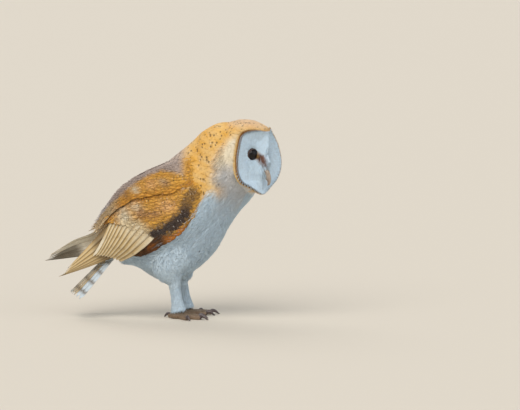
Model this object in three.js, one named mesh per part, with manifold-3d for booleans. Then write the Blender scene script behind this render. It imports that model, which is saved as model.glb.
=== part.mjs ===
// A barn owl, Tyto alba, standing at rest: the body leans forward, the head is turned to the bird's
// right, and the long folded wings cross the tail's root. The solids follow the tips of the plumage.
// Millimetres. +X is the way the body faces, +Y the bird's left, +Z up, and the toes stand on z = 0.
import * as THREE from "three";
import { mergeVertices } from "three/addons/utils/BufferGeometryUtils.js";
import Module from "manifold-3d";

const wasm = await Module();
wasm.setup();

const V = (x, y, z) => new THREE.Vector3(x, y, z);
const { lerp, smoothstep, degToRad } = THREE.MathUtils;

// ---------------------------------------------------------------- driving dimensions
const GAP = 0.35; // least clearance between neighbouring pieces
const SWELL = 0.5; // how far a piece is swollen to clear a space for it in its neighbours
const SLIVER = 0.05; // how far a piece's faces may move to be rid of the slivers that cuts leave
const SIDES = { right: -1, left: 1 };

// The trunk and neck: where each section meets the back and the belly, in the mid-plane, and its half width.
const TORSO = [
  { back: [-116, 112], belly: [-104, 88], half: 13 }, // tail root
  { back: [-104, 146], belly: [-86, 80], half: 28 }, // rump
  { back: [-86, 176], belly: [-62, 69], half: 40 }, // vent
  { back: [-61, 202], belly: [-38, 54], half: 47 }, // lower back
  { back: [-35, 219], belly: [-8, 54], half: 51 }, // belly
  { back: [-10, 238], belly: [23, 74], half: 52 }, // breast
  { back: [14, 260], belly: [47, 99], half: 53 }, // shoulders
  { back: [36, 275], belly: [65, 133], half: 52 }, // lower neck
  { back: [56, 284], belly: [83, 158], half: 49 }, // upper neck
  { back: [76, 280], belly: [99, 175], half: 43 }, // throat
  { back: [88, 262], belly: [107, 188], half: 30 }, // inside the head
];
const TORSO_STATIONS = 20;
const TORSO_AROUND = 20;
const EGG = 0.08; // how much wider a section is above its middle

// The head: a dome about 100 across whose front is the facial disc. Its own frame has x to the bird's
// left, y up and z out of the face; the brow ridge lies 50 in front of the head's centre.
const HEAD = { centre: V(81, -4, 240), turn: degToRad(-40), nod: degToRad(6) };
const DOME = { wide: 51.5, high: 52.5, drop: -3 };
const DOME_RINGS = [
  { z: 31, size: 1.0 },
  { z: 20, size: 1.02 },
  { z: 8, size: 1.01 },
  { z: -6, size: 0.97 },
  { z: -19, size: 0.88 },
  { z: -30, size: 0.73 },
  { z: -39, size: 0.52 },
  { z: -45, size: 0.26 },
];
// How the dome's first rings follow the rim: swollen past it, and leaning as its depth differs from level.
const RIM_LEAD = { swell: 1.03, level: 37, lean: 1.2, rings: 3 };
// The heart-shaped rim of the disc on the bird's left, from the notch in the forehead to the chin.
const RIM = [
  V(0, 38, 49),
  V(17, 38.5, 37),
  V(31.5, 33, 27),
  V(43.5, 15, 31),
  V(49.5, -7, 35.5),
  V(47.5, -22, 37.5),
  V(38.5, -34, 39.5),
  V(24, -40.5, 43.5),
  V(0, -51, 47),
];
const RIM_AROUND = 22;
// The feathered ridge down the middle of the face, from the forehead to the chin.
const RIDGE = [V(0, 34, 50), V(0, 14, 51.5), V(0, -4, 51.5), V(0, -20, 50), V(0, -34, 47), V(0, -46, 47)];
const FACE_STEPS = [0.93, 0.7, 0.46, 0.28, 0.17, 0.07, 0]; // from the rim to the ridge
const BACK_STEPS = [1, 0.5, 0.25, 0]; // the same, behind the disc
// The dish is at its deepest at the eyes, and shallow where the rim comes close to the ridge.
const DISH = { depth: 11, lowest: 0.32, eyeLevel: 2, spread: 34, fullAt: 36 };
const DISC_THICK = 7;
const DISC_EDGE = 0.955; // the disc's own edge, as a share of the way to the rim
const EYE = { across: 12, up: 3, out: 29.3, radius: 9 };
const BILL = {
  path: [V(0, -14, 45), V(0, -20, 51.5), V(0, -29, 57), V(0, -38, 58.5), V(0, -41.5, 57)],
  size: [[6.5, 5], [6, 5.5], [4.2, 4.6], [2.2, 2.4], [0.6, 0.6]],
};
const LOWER_BILL = {
  path: [V(0, -30, 44), V(0, -33, 49), V(0, -37, 53.5)],
  size: [[4.4, 3.2], [3.6, 2.4], [1.2, 0.8]],
};

// The sheath that the folded wings lie on: like the torso's sections, but running out past the tail.
// The bird holds its left wing a little higher and longer than its right.
const SHOULDER_SHEATH = [
  { back: [31, 273], belly: [60, 120], half: 59 }, // shoulder
  { back: [-2, 247], belly: [31, 80], half: 60 },
  { back: [-34, 222], belly: [-6, 60], half: 60 },
  { back: [-64, 205], belly: [-38, 58], half: 56 },
  { back: [-92, 185], belly: [-66, 62], half: 49 },
];
const SHEATH = {
  right: [
    ...SHOULDER_SHEATH,
    { back: [-113, 158], belly: [-92, 66], half: 41 },
    { back: [-132, 129], belly: [-117, 64], half: 31 },
    { back: [-154, 99], belly: [-145, 60], half: 21 },
    { back: [-187, 62], belly: [-185, 53], half: 9 }, // wing tip
  ],
  left: [
    ...SHOULDER_SHEATH,
    { back: [-113, 156], belly: [-92, 74], half: 41 },
    { back: [-134, 130], belly: [-116, 76], half: 32 },
    { back: [-166, 116], belly: [-148, 75], half: 23 },
    { back: [-211, 86], belly: [-206, 76], half: 10 },
  ],
};

// Tracts of the wing. A place on the sheath is [share of its length, degrees down from the back].
// A shell of short feathers: its front and rear from the upper edge down, its edges from front to rear.
const COVERTS = {
  front: [0.1, 0.07, 0.1, 0.13],
  rear: [0.62, 0.56, 0.47, 0.4, 0.4, 0.46],
  upper: [66, 52, 46, 42],
  lower: [98, 105, 108, 113, 119],
  thick: 8,
};
const SCAPULARS = {
  front: [0.09, 0.1],
  rear: [0.64, 0.66],
  upper: [44, 20, 9, 7, 6],
  lower: [67, 60, 53, 48, 44, 40],
  raised: 3.2,
};
// Rows of long feathers, the upper lying over the lower: the [root, tip] of its two outermost.
const SECONDARIES = {
  count: 8,
  upper: { right: [[0.54, 34], [0.8, 88]], left: [[0.54, 30], [0.8, 84]] },
  lower: [[0.34, 98], [0.61, 132]],
  lift: -2.4,
};
const PRIMARIES = {
  count: 5,
  upper: { right: [[0.6, 50], [0.93, 33]], left: [[0.6, 22], [0.94, 10]] },
  lower: [[0.48, 118], [1, 127]],
  lift: -5.8,
};
// A row's plate, how far each feather lies above the next, and its pointed tip as a share of its length.
const VANE = { thick: 1.1, step: 0.9, point: 0.07 };

// The tail: twelve feathers from a root at the vent, sloping down and back.
const TAIL = {
  root: V(-97, 0, 106),
  slope: degToRad(45),
  length: 98,
  feathers: 12,
  half: { root: 13, tip: 29 },
  roof: 18, // how far the outermost lie below the middle pair
  coverts: { up: 11, across: 17, length: 44 },
};

// Each leg: a feathered thigh and shank over a bare foot. turn is how far the foot points outwards, in
// degrees, and thigh how far the thigh lies ahead of the knee.
const LEGS = {
  right: { ankle: V(-9, -22, 10), knee: V(-16, -23, 56), turn: 24, thigh: 0 },
  left: { ankle: V(2, 22, 10), knee: V(-6, 23, 56), turn: 8, thigh: 6 },
};
const THIGH = [
  { lift: 54, back: 2, half: [30, 19] },
  { lift: 34, back: -4, half: [31, 20] },
  { lift: 14, back: -6, half: [25, 18] },
  { lift: 2, back: -2, half: [15, 12.5] },
  { lift: -5, back: 0, half: [8, 8] },
];
const SHANK = [[9.5, 9], [8, 7.6], [7.6, 7], [8.6, 7.6], [11.5, 9.6]];
const SHANK_FOOT = 9.5; // height of the shank's feathered hem
const FOOT = { half: [13, 9, 6.2], centre: 4.6 };
// Each toe's heading is from the foot's own, positive towards the other foot.
const TOES = [
  { digit: 1, heading: 160, start: 7, length: 12, thick: 4.1, claw: 11 },
  { digit: 2, heading: 22, start: 8, length: 22, thick: 4.3, claw: 13, from: 9 },
  { digit: 3, heading: -4, start: 10, length: 26, thick: 4.4, claw: 13, from: -22, to: 9 },
  { digit: 4, heading: -40, start: 8, length: 20, thick: 4.1, claw: 11, to: -22 },
];
const TOE_AROUND = 6;

const COLOURS = {
  gold: 0xd4a45c,
  white: 0xe9ecee,
  disc: 0xeef2f5,
  tan: 0xc9a878,
  foot: 0xa08070,
  claw: 0x2f2826,
  bill: 0xd9c6b4,
  eye: 0x0c0908,
};

// ---------------------------------------------------------------- solids
const clean = (geometry) => {
  const bare = geometry.clone();
  bare.deleteAttribute("normal");
  bare.deleteAttribute("uv");
  return mergeVertices(bare, 1e-4);
};

function volumeOf(points, index) {
  let six = 0;
  for (let i = 0; i < index.length; i += 3)
    six += points[index[i]].dot(points[index[i + 1]].clone().cross(points[index[i + 2]]));
  return six / 6;
}

/** A closed solid from points and triangles, with its faces turned outwards. */
function solidFrom(points, index) {
  if (volumeOf(points, index) < 0) index.reverse();
  const geometry = new THREE.BufferGeometry().setFromPoints(points).setIndex(index);
  return solidOf(geometry);
}

function solidOf(geometry) {
  const merged = clean(geometry);
  const flat = (i) => merged.index.array[i] === merged.index.array[i + 1];
  const kept = [];
  for (let i = 0; i < merged.index.count; i += 3) {
    const [a, b, c] = merged.index.array.slice(i, i + 3);
    if (!flat(i) && b !== c && c !== a) kept.push(a, b, c);
  }
  const vertProperties = merged.attributes.position.array;
  return new wasm.Manifold(new wasm.Mesh({ numProp: 3, vertProperties, triVerts: new Uint32Array(kept) }));
}

/** The triangles that close a round ring of points, as a fan from their middle, which is added to them. */
function fanCap(points, first, around) {
  const middle = points.slice(first, first + around).reduce((sum, p) => sum.add(p), V(0, 0, 0));
  points.push(middle.divideScalar(around));
  const ring = Array.from({ length: around }, (_, j) => j);
  return ring.map((j) => [first + j, first + ((j + 1) % around), points.length - 1]);
}

/** The triangles that close a flat band: its first points are its outer row, and the rest run back. */
function bandCap(first, around, outer) {
  const triangles = [];
  let [i, j] = [0, around - 1];
  while (i < outer - 1 || j > outer) {
    const innerShare = (around - 1 - j) / (around - 1 - outer);
    const outerFirst = j === outer || (i < outer - 1 && i / (outer - 1) <= innerShare);
    if (outerFirst) triangles.push([first + i, first + ++i, first + j]);
    else triangles.push([first + j - 1, first + j--, first + i]);
  }
  return triangles;
}

/** A solid skinned over rings of equally many points. outer tells a band's outer row from its inner one. */
function loft(rings, { closedStart = false, closedEnd = false, outer = 0 } = {}) {
  const around = rings[0].length;
  const last = (rings.length - 1) * around;
  const points = rings.flat();
  const index = [];
  for (let first = 0; first < last; first += around)
    for (let j = 0; j < around; j++) {
      const [a, b] = [first + j, first + ((j + 1) % around)];
      index.push(a, b, a + around, b, b + around, a + around);
    }
  const cap = (first) => (outer ? bandCap(first, around, outer) : fanCap(points, first, around));
  if (!closedStart) index.push(...cap(0).flatMap(([a, b, c]) => [b, a, c]));
  if (!closedEnd) index.push(...cap(last).flat());
  return solidFrom(points, index);
}

/** A limb along a path. Each size is [half across the path's side, half across its height]. */
function limb(path, sizes, { along = 8, around = 10, side = V(0, 1, 0) } = {}) {
  const curve = new THREE.CatmullRomCurve3(path);
  const size = new THREE.CatmullRomCurve3(sizes.map(([a, b]) => V(a, b, 0)));
  const rings = [];
  for (let i = 0; i <= along; i++) {
    const t = i / along;
    const centre = curve.getPoint(t);
    const high = curve.getTangent(t).cross(side).normalize();
    const half = size.getPoint(t);
    rings.push(ringAround(centre, side.clone().multiplyScalar(half.x), high.multiplyScalar(half.y), around));
  }
  return loft(rings);
}

function ringAround(centre, across, up, around) {
  return Array.from({ length: around }, (_, j) => {
    const turn = (2 * Math.PI * (j + 0.5)) / around;
    return centre.clone().addScaledVector(across, Math.sin(turn)).addScaledVector(up, Math.cos(turn));
  });
}

/** A solid with each corner moved outwards, which clears a space for it in its neighbours. */
function swollen(solid) {
  const { vertProperties, triVerts } = solid.getMesh();
  const corner = (i) => new THREE.Vector3().fromArray(vertProperties, 3 * i);
  const outwards = Array.from({ length: vertProperties.length / 3 }, () => V(0, 0, 0));
  for (let i = 0; i < triVerts.length; i += 3) {
    const [a, b, c] = [...triVerts.subarray(i, i + 3)].map(corner);
    const normal = b.sub(a).cross(c.sub(a)).normalize();
    for (const j of triVerts.subarray(i, i + 3)) outwards[j].add(normal);
  }
  const moved = outwards.flatMap((out, i) => corner(i).add(out.setLength(SWELL)).toArray());
  return new wasm.Manifold(new wasm.Mesh({ numProp: 3, vertProperties: new Float32Array(moved), triVerts }));
}

const union = (solids) => solids.reduce((all, one) => all.add(one));
const ball = (centre) => solidOf(new THREE.SphereGeometry(EYE.radius, 12, 8).translate(...centre));

// ---------------------------------------------------------------- torso
/** The curves of a list of sections: back, belly and half width, each over 0 to 1. */
function sectionCurves(sections) {
  const back = new THREE.CatmullRomCurve3(sections.map((s) => V(s.back[0], 0, s.back[1])));
  const belly = new THREE.CatmullRomCurve3(sections.map((s) => V(s.belly[0], 0, s.belly[1])));
  const half = new THREE.CatmullRomCurve3(sections.map((s) => V(s.half, 0, 0)));
  return { back, belly, half };
}

/** The point of a section t along, at an angle down from the back and lifted off it, on a side. */
function sectionPoint({ back, belly, half }, t, angle, side, lift = 0) {
  const top = back.getPoint(t);
  const low = belly.getPoint(t);
  const middle = top.clone().add(low).multiplyScalar(0.5);
  const up = top.clone().sub(low).multiplyScalar(0.5);
  up.setLength(up.length() + lift);
  const wide = (half.getPoint(t).x + lift) * (1 + EGG * Math.cos(angle));
  const point = middle.addScaledVector(up, Math.cos(angle));
  return point.setY(side * wide * Math.sin(angle));
}

const torsoCurves = sectionCurves(TORSO);
function torso() {
  const rings = [];
  for (let i = 0; i <= TORSO_STATIONS; i++)
    rings.push(
      Array.from({ length: TORSO_AROUND }, (_, j) => {
        const angle = (2 * Math.PI * j) / TORSO_AROUND;
        return sectionPoint(torsoCurves, i / TORSO_STATIONS, angle, SIDES.left);
      }),
    );
  return loft(rings);
}

// ---------------------------------------------------------------- head
const headFrame = new THREE.Matrix4();
{
  const level = V(Math.cos(HEAD.turn), Math.sin(HEAD.turn), 0);
  const out = level.multiplyScalar(Math.cos(HEAD.nod)).setZ(-Math.sin(HEAD.nod));
  const left = V(-Math.sin(HEAD.turn), Math.cos(HEAD.turn), 0);
  const up = out.clone().cross(left);
  headFrame.makeBasis(left, up, out).setPosition(HEAD.centre);
}
const inHead = (point) => point.clone().applyMatrix4(headFrame);
const mirrored = RIM.slice(1, -1).reverse().map((p) => V(-p.x, p.y, p.z));
const rimCurve = new THREE.CatmullRomCurve3([...RIM, ...mirrored], true);
const ridgeCurve = new THREE.CatmullRomCurve3(RIDGE);

/** How deep the dish lies at a share of the way from ridge to rim, at a height on the face. */
function dishDepth(share, height) {
  const level = Math.exp(-(((height - DISH.eyeLevel) / DISH.spread) ** 2));
  const flank = smoothstep(share, -0.05, DISH.lowest) * (1 - smoothstep(share, DISH.lowest + 0.1, 1.1));
  return DISH.depth * (0.35 + 0.65 * level) * flank;
}

/** A point of the face: turn runs 0 to 1 round the rim, share from the ridge to the rim. */
function facePoint(turn, share, behind = 0) {
  const rim = rimCurve.getPoint(turn);
  const down = turn <= 0.5 ? 2 * turn : 2 - 2 * turn;
  const ridge = ridgeCurve.getPoint(down);
  const room = Math.min(1, ridge.distanceTo(rim) / DISH.fullAt);
  const point = ridge.lerp(rim, share);
  point.z -= room * dishDepth(share, point.y) + behind;
  return point;
}

const turns = Array.from({ length: RIM_AROUND }, (_, i) => i / RIM_AROUND);

function dome() {
  const rings = DOME_RINGS.map(({ z, size }, k) =>
    turns.map((turn) => {
      const rim = rimCurve.getPoint(turn);
      const angle = Math.atan2(rim.x, rim.y - DOME.drop);
      const round = V(DOME.wide * size * Math.sin(angle), DOME.drop + DOME.high * size * Math.cos(angle), z);
      const share = Math.min(1, (k + 1) / RIM_LEAD.rings);
      const point = rim.clone().multiplyScalar(RIM_LEAD.swell).lerp(round, share);
      point.z = z + (rim.z - RIM_LEAD.level) * (1 - share) * RIM_LEAD.lean;
      return inHead(point);
    }),
  ).reverse();
  const face = [1, ...FACE_STEPS].map((share) => turns.map((turn) => inHead(facePoint(turn, share))));
  return loft([...rings, ...face], { closedEnd: true });
}

/** The facial disc as a plate. */
function disc() {
  const row = (share, behind) => turns.map((turn) => inHead(facePoint(turn, share * DISC_EDGE, behind)));
  const front = [1, ...FACE_STEPS].map((share) => row(share, 0));
  const behind = BACK_STEPS.map((share) => row(share, DISC_THICK));
  return loft([...behind.reverse(), ...front], { closedStart: true, closedEnd: true });
}

const eyeCentre = (side) => inHead(V(side * EYE.across, EYE.up, EYE.out));
const headSide = V(0, 1, 0).transformDirection(headFrame).cross(V(0, 0, 1).transformDirection(headFrame));
const billPiece = ({ path, size }) => limb(path.map(inHead), size, { side: headSide, along: 6, around: 8 });

// ---------------------------------------------------------------- wings
const sheathCurves = { right: sectionCurves(SHEATH.right), left: sectionCurves(SHEATH.left) };

/** A point of the folded wing: t along the sheath, degrees down from the back, lifted off the sheath. */
const wingPoint = (name, t, degrees, lift = 0) =>
  sectionPoint(sheathCurves[name], Math.min(1, t), degToRad(degrees), SIDES[name], lift);

/** The value of an evenly spaced list at a share of its length. */
function within(values, share) {
  const at = Math.min(share, 0.9999) * (values.length - 1);
  const i = Math.floor(at);
  return lerp(values[i], values[i + 1], at - i);
}

/** A shell of plumage on the sheath. inner and outer give its lifts at each share along and across. */
function plumage(name, { front, rear, upper, lower }, inner, outer) {
  const [steps, across] = [7, 6];
  const rings = [];
  for (let i = 0; i <= steps; i++) {
    const share = i / steps;
    const row = (lift) =>
      Array.from({ length: across }, (_, j) => {
        const down = j / (across - 1);
        const t = lerp(within(front, down), within(rear, down), share);
        const degrees = lerp(within(upper, share), within(lower, share), down);
        return wingPoint(name, t, degrees, lift(share, down));
      });
    rings.push([...row(outer), ...row(inner).reverse()]);
  }
  return loft(rings, { outer: across });
}

function wingCoverts(name) {
  const inner = (share) => lerp(-COVERTS.thick, -0.2, smoothstep(share, 0.5, 0.85));
  const outer = (share, down) => 0.9 + 1.2 * Math.sin(Math.PI * down) * (1 - share);
  return plumage(name, COVERTS, inner, outer);
}

function scapulars(name) {
  const bulge = (share, down) => Math.sin(Math.PI * lerp(0.25, 0.9, down)) * (1 - 0.5 * share);
  return plumage(name, SCAPULARS, () => 2.5, (share, down) => 3.4 + SCAPULARS.raised * bulge(share, down));
}

/** A plate of overlapping feathers. at(u, share, lift) gives the place of the u-th part of the row. */
function featherRow(count, at, mirror = false) {
  const steps = 3;
  const outer = [];
  for (let i = 0; i < count; i++)
    for (const [edge, lift, short] of [[0.04, 0, 1], [0.5, 0.6, 0], [0.96, 1, 1]]) {
      const turned = mirror && i < count / 2 ? 1 - lift : lift;
      outer.push({ u: (i + edge) / count, lift: turned * VANE.step, short: short * VANE.point });
    }
  const inner = [1, 0.75, 0.5, 0.25, 0].map((u) => ({ u, lift: -VANE.thick, short: VANE.point }));
  const columns = [...outer, ...inner];
  const rings = [];
  for (let k = 0; k <= steps; k++) {
    const share = k / steps;
    const place = ({ u, lift, short }) => at(u, share - short * smoothstep(share, 0.5, 1), lift);
    rings.push(columns.map(place));
  }
  return loft(rings, { outer: outer.length });
}

/** A row of flight feathers on the sheath. */
function flightFeathers(name, { count, upper, lower, lift }) {
  const [first, last] = [upper[name], lower];
  const mix = (end, axis, u) => lerp(first[end][axis], last[end][axis], u);
  const at = (u, share, raised) => {
    const t = lerp(mix(0, 0, u), mix(1, 0, u), share);
    return wingPoint(name, t, lerp(mix(0, 1, u), mix(1, 1, u), share), lift + raised);
  };
  return featherRow(count, at);
}

// ---------------------------------------------------------------- tail
function tail() {
  const down = V(-Math.cos(TAIL.slope), 0, -Math.sin(TAIL.slope));
  const normal = V(-Math.sin(TAIL.slope), 0, Math.cos(TAIL.slope));
  const at = (u, share, lift) => {
    const across = 2 * u - 1;
    const place = TAIL.root.clone().addScaledVector(down, share * TAIL.length * (1 - 0.05 * across ** 2));
    place.setY(across * lerp(TAIL.half.root, TAIL.half.tip, share ** 0.8));
    return place.addScaledVector(normal, lift - TAIL.roof * across ** 2 * (0.5 + 0.5 * share));
  };
  const { up, across, length } = TAIL.coverts;
  const path = [-0.3, 0.2, 0.6, 1].map((share) => TAIL.root.clone().addScaledVector(down, share * length));
  const size = [[across, up], [across * 1.1, up * 0.8], [across * 0.95, up * 0.5], [across * 0.6, 1.5]];
  const under = limb(path.map((p) => p.addScaledVector(normal, -5)), size, { along: 4, around: 10 });
  return featherRow(TAIL.feathers, at, true).add(under);
}

// ---------------------------------------------------------------- legs and feet
function thigh({ knee, thigh: forward }) {
  const splay = (lift) => 1 + lift / 260;
  const place = ({ lift, back }) => V(knee.x + back + forward, knee.y * splay(lift), knee.z + lift);
  const path = THIGH.map(place);
  return limb(path, THIGH.map(({ half }) => [half[1], half[0]]), { along: 6, around: 12 });
}

function shank({ knee, ankle }) {
  const foot = ankle.clone().setZ(SHANK_FOOT);
  const path = SHANK.map((_, i) => knee.clone().lerp(foot, i / (SHANK.length - 1)));
  return limb(path, SHANK.map(([a, b]) => [b, a]), { along: 4, around: 10 });
}

function footPad({ ankle }) {
  const [a, b, c] = FOOT.half;
  const pad = new THREE.SphereGeometry(1, 12, 6).scale(a, b, c).translate(ankle.x, ankle.y, FOOT.centre);
  return solidOf(pad);
}

/** The point so far out along a toe, at a height. */
function toePoint({ ankle, turn: footTurn }, side, { heading }, out, height) {
  const turn = degToRad(side * (footTurn - heading));
  return V(ankle.x + Math.cos(turn) * out, ankle.y + Math.sin(turn) * out, height);
}

const level = (solid) => solid.trimByPlane([0, 0, 1], 0); // the soles are cut flat on the ground

/** A toe, held between the headings that part it from its neighbours. */
function toe(leg, side, digit) {
  const { start, length, thick, from, to } = digit;
  const shares = [0, 0.3, 0.65, 1];
  const place = (s) => toePoint(leg, side, digit, start - 4 + s * (length + 4), thick * lerp(0.85, 0.62, s));
  const path = shares.map(place);
  const size = [1, 0.98, 0.92, 0.8].map((half) => [half * thick, half * thick]);
  const across = V(0, 0, 1).cross(path[3].clone().sub(path[0])).normalize();
  const whole = level(limb(path, size, { along: 5, around: TOE_AROUND, side: across }));
  const bounds = [[from, -1], [to, 1]].filter(([heading]) => heading !== undefined);
  return bounds.reduce((solid, [heading, turned]) => {
    const beyond = toePoint(leg, side, { heading: heading + 90 * turned }, 1, 0).sub(leg.ankle);
    const normal = beyond.setZ(0).negate();
    return solid.trimByPlane(normal.toArray(), normal.dot(leg.ankle) + GAP / 2);
  }, whole);
}

function claw(leg, side, digit) {
  const { start, length, thick, claw: reach } = digit;
  const base = thick * 0.8;
  const path = [0, 0.3, 0.6, 0.85, 1].map((share) => {
    const height = base + 2.6 * Math.sin(Math.PI * Math.min(1, share * 1.25)) - (base - 0.9) * share ** 1.6;
    return toePoint(leg, side, digit, start + length - 1.5 + share * (reach + 1.5), Math.max(0.9, height));
  });
  const across = V(0, 0, 1).cross(path[4].clone().sub(path[0])).normalize();
  const size = [3, 2.6, 1.9, 1.1, 0.45].map((half) => [half * 0.85, half]);
  return level(limb(path, size, { along: 5, around: TOE_AROUND, side: across }));
}

// ---------------------------------------------------------------- assembly
const owl = new THREE.Group();
owl.name = "barn_owl";

function addPiece(name, solid, colour, roughness = 0.9) {
  const { vertProperties, triVerts } = solid.simplify(SLIVER).getMesh();
  const geometry = new THREE.BufferGeometry();
  geometry.setAttribute("position", new THREE.BufferAttribute(vertProperties, 3));
  geometry.setIndex(new THREE.BufferAttribute(triVerts, 1));
  geometry.computeVertexNormals();
  const material = new THREE.MeshStandardMaterial({ color: colour, roughness, metalness: 0 });
  const mesh = new THREE.Mesh(geometry, material);
  mesh.name = name;
  owl.add(mesh);
}

/** The largest body of a solid, which leaves out slivers that a cut set free. */
function largest(solid) {
  return solid.decompose().sort((a, b) => b.volume() - a.volume())[0];
}

// Head, neck and trunk are one form, parted by two thin plane cuts.
const planeAt = (point, normal) => ({ normal: normal.normalize(), offset: point.dot(normal) });
const HEAD_CUT = planeAt(V(38, 0, 277), V(0.85, -0.08, 0.52));
const NECK_CUT = planeAt(V(6, 0, 250), V(0.9, 0, 0.436));
const above = (solid, { normal, offset }) => solid.trimByPlane(normal.toArray(), offset + GAP / 2);
const turned = ({ normal, offset }) => ({ normal: normal.clone().negate(), offset: -offset });
const below = (solid, plane) => above(solid, turned(plane));

const form = torso().add(dome());
const upperBill = billPiece(BILL);
const eyes = { right: ball(eyeCentre(SIDES.right)), left: ball(eyeCentre(SIDES.left)) };
const faceSpace = union([upperBill, billPiece(LOWER_BILL), ...Object.values(eyes)].map(swollen));
const headSpace = swollen(disc()).add(faceSpace);

addPiece("head", largest(above(form, HEAD_CUT).subtract(headSpace)), COLOURS.gold);
addPiece("facial_disc", largest(disc().subtract(faceSpace)), COLOURS.disc);
addPiece("neck", largest(below(above(form, NECK_CUT), HEAD_CUT).subtract(headSpace)), COLOURS.gold);
addPiece("trunk", below(form, NECK_CUT), COLOURS.white);
addPiece("bill_upper", upperBill, COLOURS.bill, 0.45);
addPiece("bill_lower", largest(billPiece(LOWER_BILL).subtract(swollen(upperBill))), COLOURS.bill, 0.45);

const trunkSpace = swollen(torso());
for (const [name, side] of Object.entries(SIDES)) {
  addPiece(`eye_${name}`, eyes[name], COLOURS.eye, 0.08);

  const coverts = wingCoverts(name);
  const secondaries = flightFeathers(name, SECONDARIES).subtract(swollen(coverts).add(trunkSpace));
  const overPrimaries = union([coverts, secondaries].map(swollen)).add(trunkSpace);
  const primaries = flightFeathers(name, PRIMARIES).subtract(overPrimaries);
  addPiece(`wing_${name}_coverts`, largest(coverts.subtract(trunkSpace)), COLOURS.gold);
  addPiece(`scapulars_${name}`, scapulars(name), COLOURS.gold);
  addPiece(`wing_${name}_secondaries`, largest(secondaries), COLOURS.tan);
  addPiece(`wing_${name}_primaries`, largest(primaries), COLOURS.tan);

  const leg = LEGS[name];
  const [upperLeg, pad] = [thigh(leg), level(footPad(leg))];
  addPiece(`leg_${name}_thigh`, largest(upperLeg.subtract(trunkSpace)), COLOURS.white);
  const shankSpace = union([upperLeg, pad].map(swollen)).add(trunkSpace);
  addPiece(`leg_${name}_shank`, largest(shank(leg).subtract(shankSpace)), COLOURS.white);
  addPiece(`foot_${name}`, pad, COLOURS.foot, 0.7);
  for (const digit of TOES) {
    const bare = toe(leg, side, digit);
    const horn = claw(leg, side, digit).subtract(swollen(bare));
    addPiece(`toe_${name}_${digit.digit}`, largest(bare.subtract(swollen(pad))), COLOURS.foot, 0.7);
    addPiece(`claw_${name}_${digit.digit}`, largest(horn), COLOURS.claw, 0.35);
  }
}
addPiece("tail", largest(tail().subtract(trunkSpace)), COLOURS.tan);

// The origin is the middle of the bird's box, on the ground.
const middle = new THREE.Box3().setFromObject(owl).getCenter(V(0, 0, 0));
owl.position.set(-middle.x, -middle.y, 0);

export default owl;
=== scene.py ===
"""The looks of the barn owl: one skin over its solids, with the feathers laid on it tract by tract.

Lengths are in millimetres in the frame that the solids are built in, and become metres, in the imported
frame, when a mesh is made. A tract's feathers are closed thin vanes, and down is fine closed locks.
"""
import math

import bpy
import numpy as np
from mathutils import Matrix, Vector, kdtree
from mathutils.bvhtree import BVHTree


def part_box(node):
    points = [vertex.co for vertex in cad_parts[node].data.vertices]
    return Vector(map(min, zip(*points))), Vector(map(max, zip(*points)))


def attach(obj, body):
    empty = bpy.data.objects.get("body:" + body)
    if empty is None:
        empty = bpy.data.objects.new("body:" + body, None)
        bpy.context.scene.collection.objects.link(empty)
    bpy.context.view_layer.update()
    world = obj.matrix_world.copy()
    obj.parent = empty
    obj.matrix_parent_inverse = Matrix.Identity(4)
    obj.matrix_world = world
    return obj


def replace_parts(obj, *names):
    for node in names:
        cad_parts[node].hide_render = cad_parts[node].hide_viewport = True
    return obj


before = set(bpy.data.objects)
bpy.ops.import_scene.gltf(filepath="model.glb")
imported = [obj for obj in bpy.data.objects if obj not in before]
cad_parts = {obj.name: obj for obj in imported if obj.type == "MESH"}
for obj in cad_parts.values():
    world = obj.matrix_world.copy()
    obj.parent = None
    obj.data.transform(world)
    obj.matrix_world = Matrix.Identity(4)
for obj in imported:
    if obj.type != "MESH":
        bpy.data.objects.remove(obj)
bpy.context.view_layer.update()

MM = 0.001
SIDES = {"right": -1, "left": 1}
rng = np.random.default_rng(11)

# ---------------- the solids' driving sizes
TORSO = [  # where each section meets the back and the belly, and its half width, from tail to head
    ((-116, 112), (-104, 88), 13), ((-104, 146), (-86, 80), 28), ((-86, 176), (-62, 69), 40),
    ((-61, 202), (-38, 54), 47), ((-35, 219), (-8, 54), 51), ((-10, 238), (23, 74), 52),
    ((14, 260), (47, 99), 53), ((36, 275), (65, 133), 52), ((56, 284), (83, 158), 49),
    ((76, 280), (99, 175), 43), ((88, 262), (107, 188), 30),
]
SHOULDERS = [
    ((31, 273), (60, 120), 59), ((-2, 247), (31, 80), 60), ((-34, 222), (-6, 60), 60),
    ((-64, 205), (-38, 58), 56), ((-92, 185), (-66, 62), 49),
]
SHEATH = {
    "right": SHOULDERS + [((-113, 158), (-92, 66), 41), ((-132, 129), (-117, 64), 31),
                          ((-154, 99), (-145, 60), 21), ((-187, 62), (-185, 53), 9)],
    "left": SHOULDERS + [((-113, 156), (-92, 74), 41), ((-134, 130), (-116, 76), 32),
                         ((-166, 116), (-148, 75), 23), ((-211, 86), (-206, 76), 10)],
}
EGG = 0.08  # how much wider a section is above its middle than below
HEAD = np.array([81.0, -4.0, 240.0])  # the head's middle, its turn to the right and its nod
HEAD_TURN, HEAD_NOD = math.radians(-40), math.radians(6)
RIM = [(0, 38, 49), (17, 38.5, 37), (31.5, 33, 27), (43.5, 15, 31), (49.5, -7, 35.5), (47.5, -22, 37.5),
       (38.5, -34, 39.5), (24, -40.5, 43.5), (0, -51, 47)]
RIDGE = [(0, 34, 50), (0, 14, 51.5), (0, -4, 51.5), (0, -20, 50), (0, -34, 47), (0, -46, 47)]
DISH_DEPTH, DISH_LOWEST, DISH_LEVEL, DISH_SPREAD, DISH_FULL = 11, 0.32, 2, 34, 36
RIDGE_ROUND = 0.2  # how far the coat rounds off the solids' sharp ridge
EYE_ACROSS, EYE_UP, EYE_OUT, EYE_RADIUS = 12, 3, 29.3, 9  # in the head's frame
EYE_TURN = math.radians(14)  # how far each eye looks outwards
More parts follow.
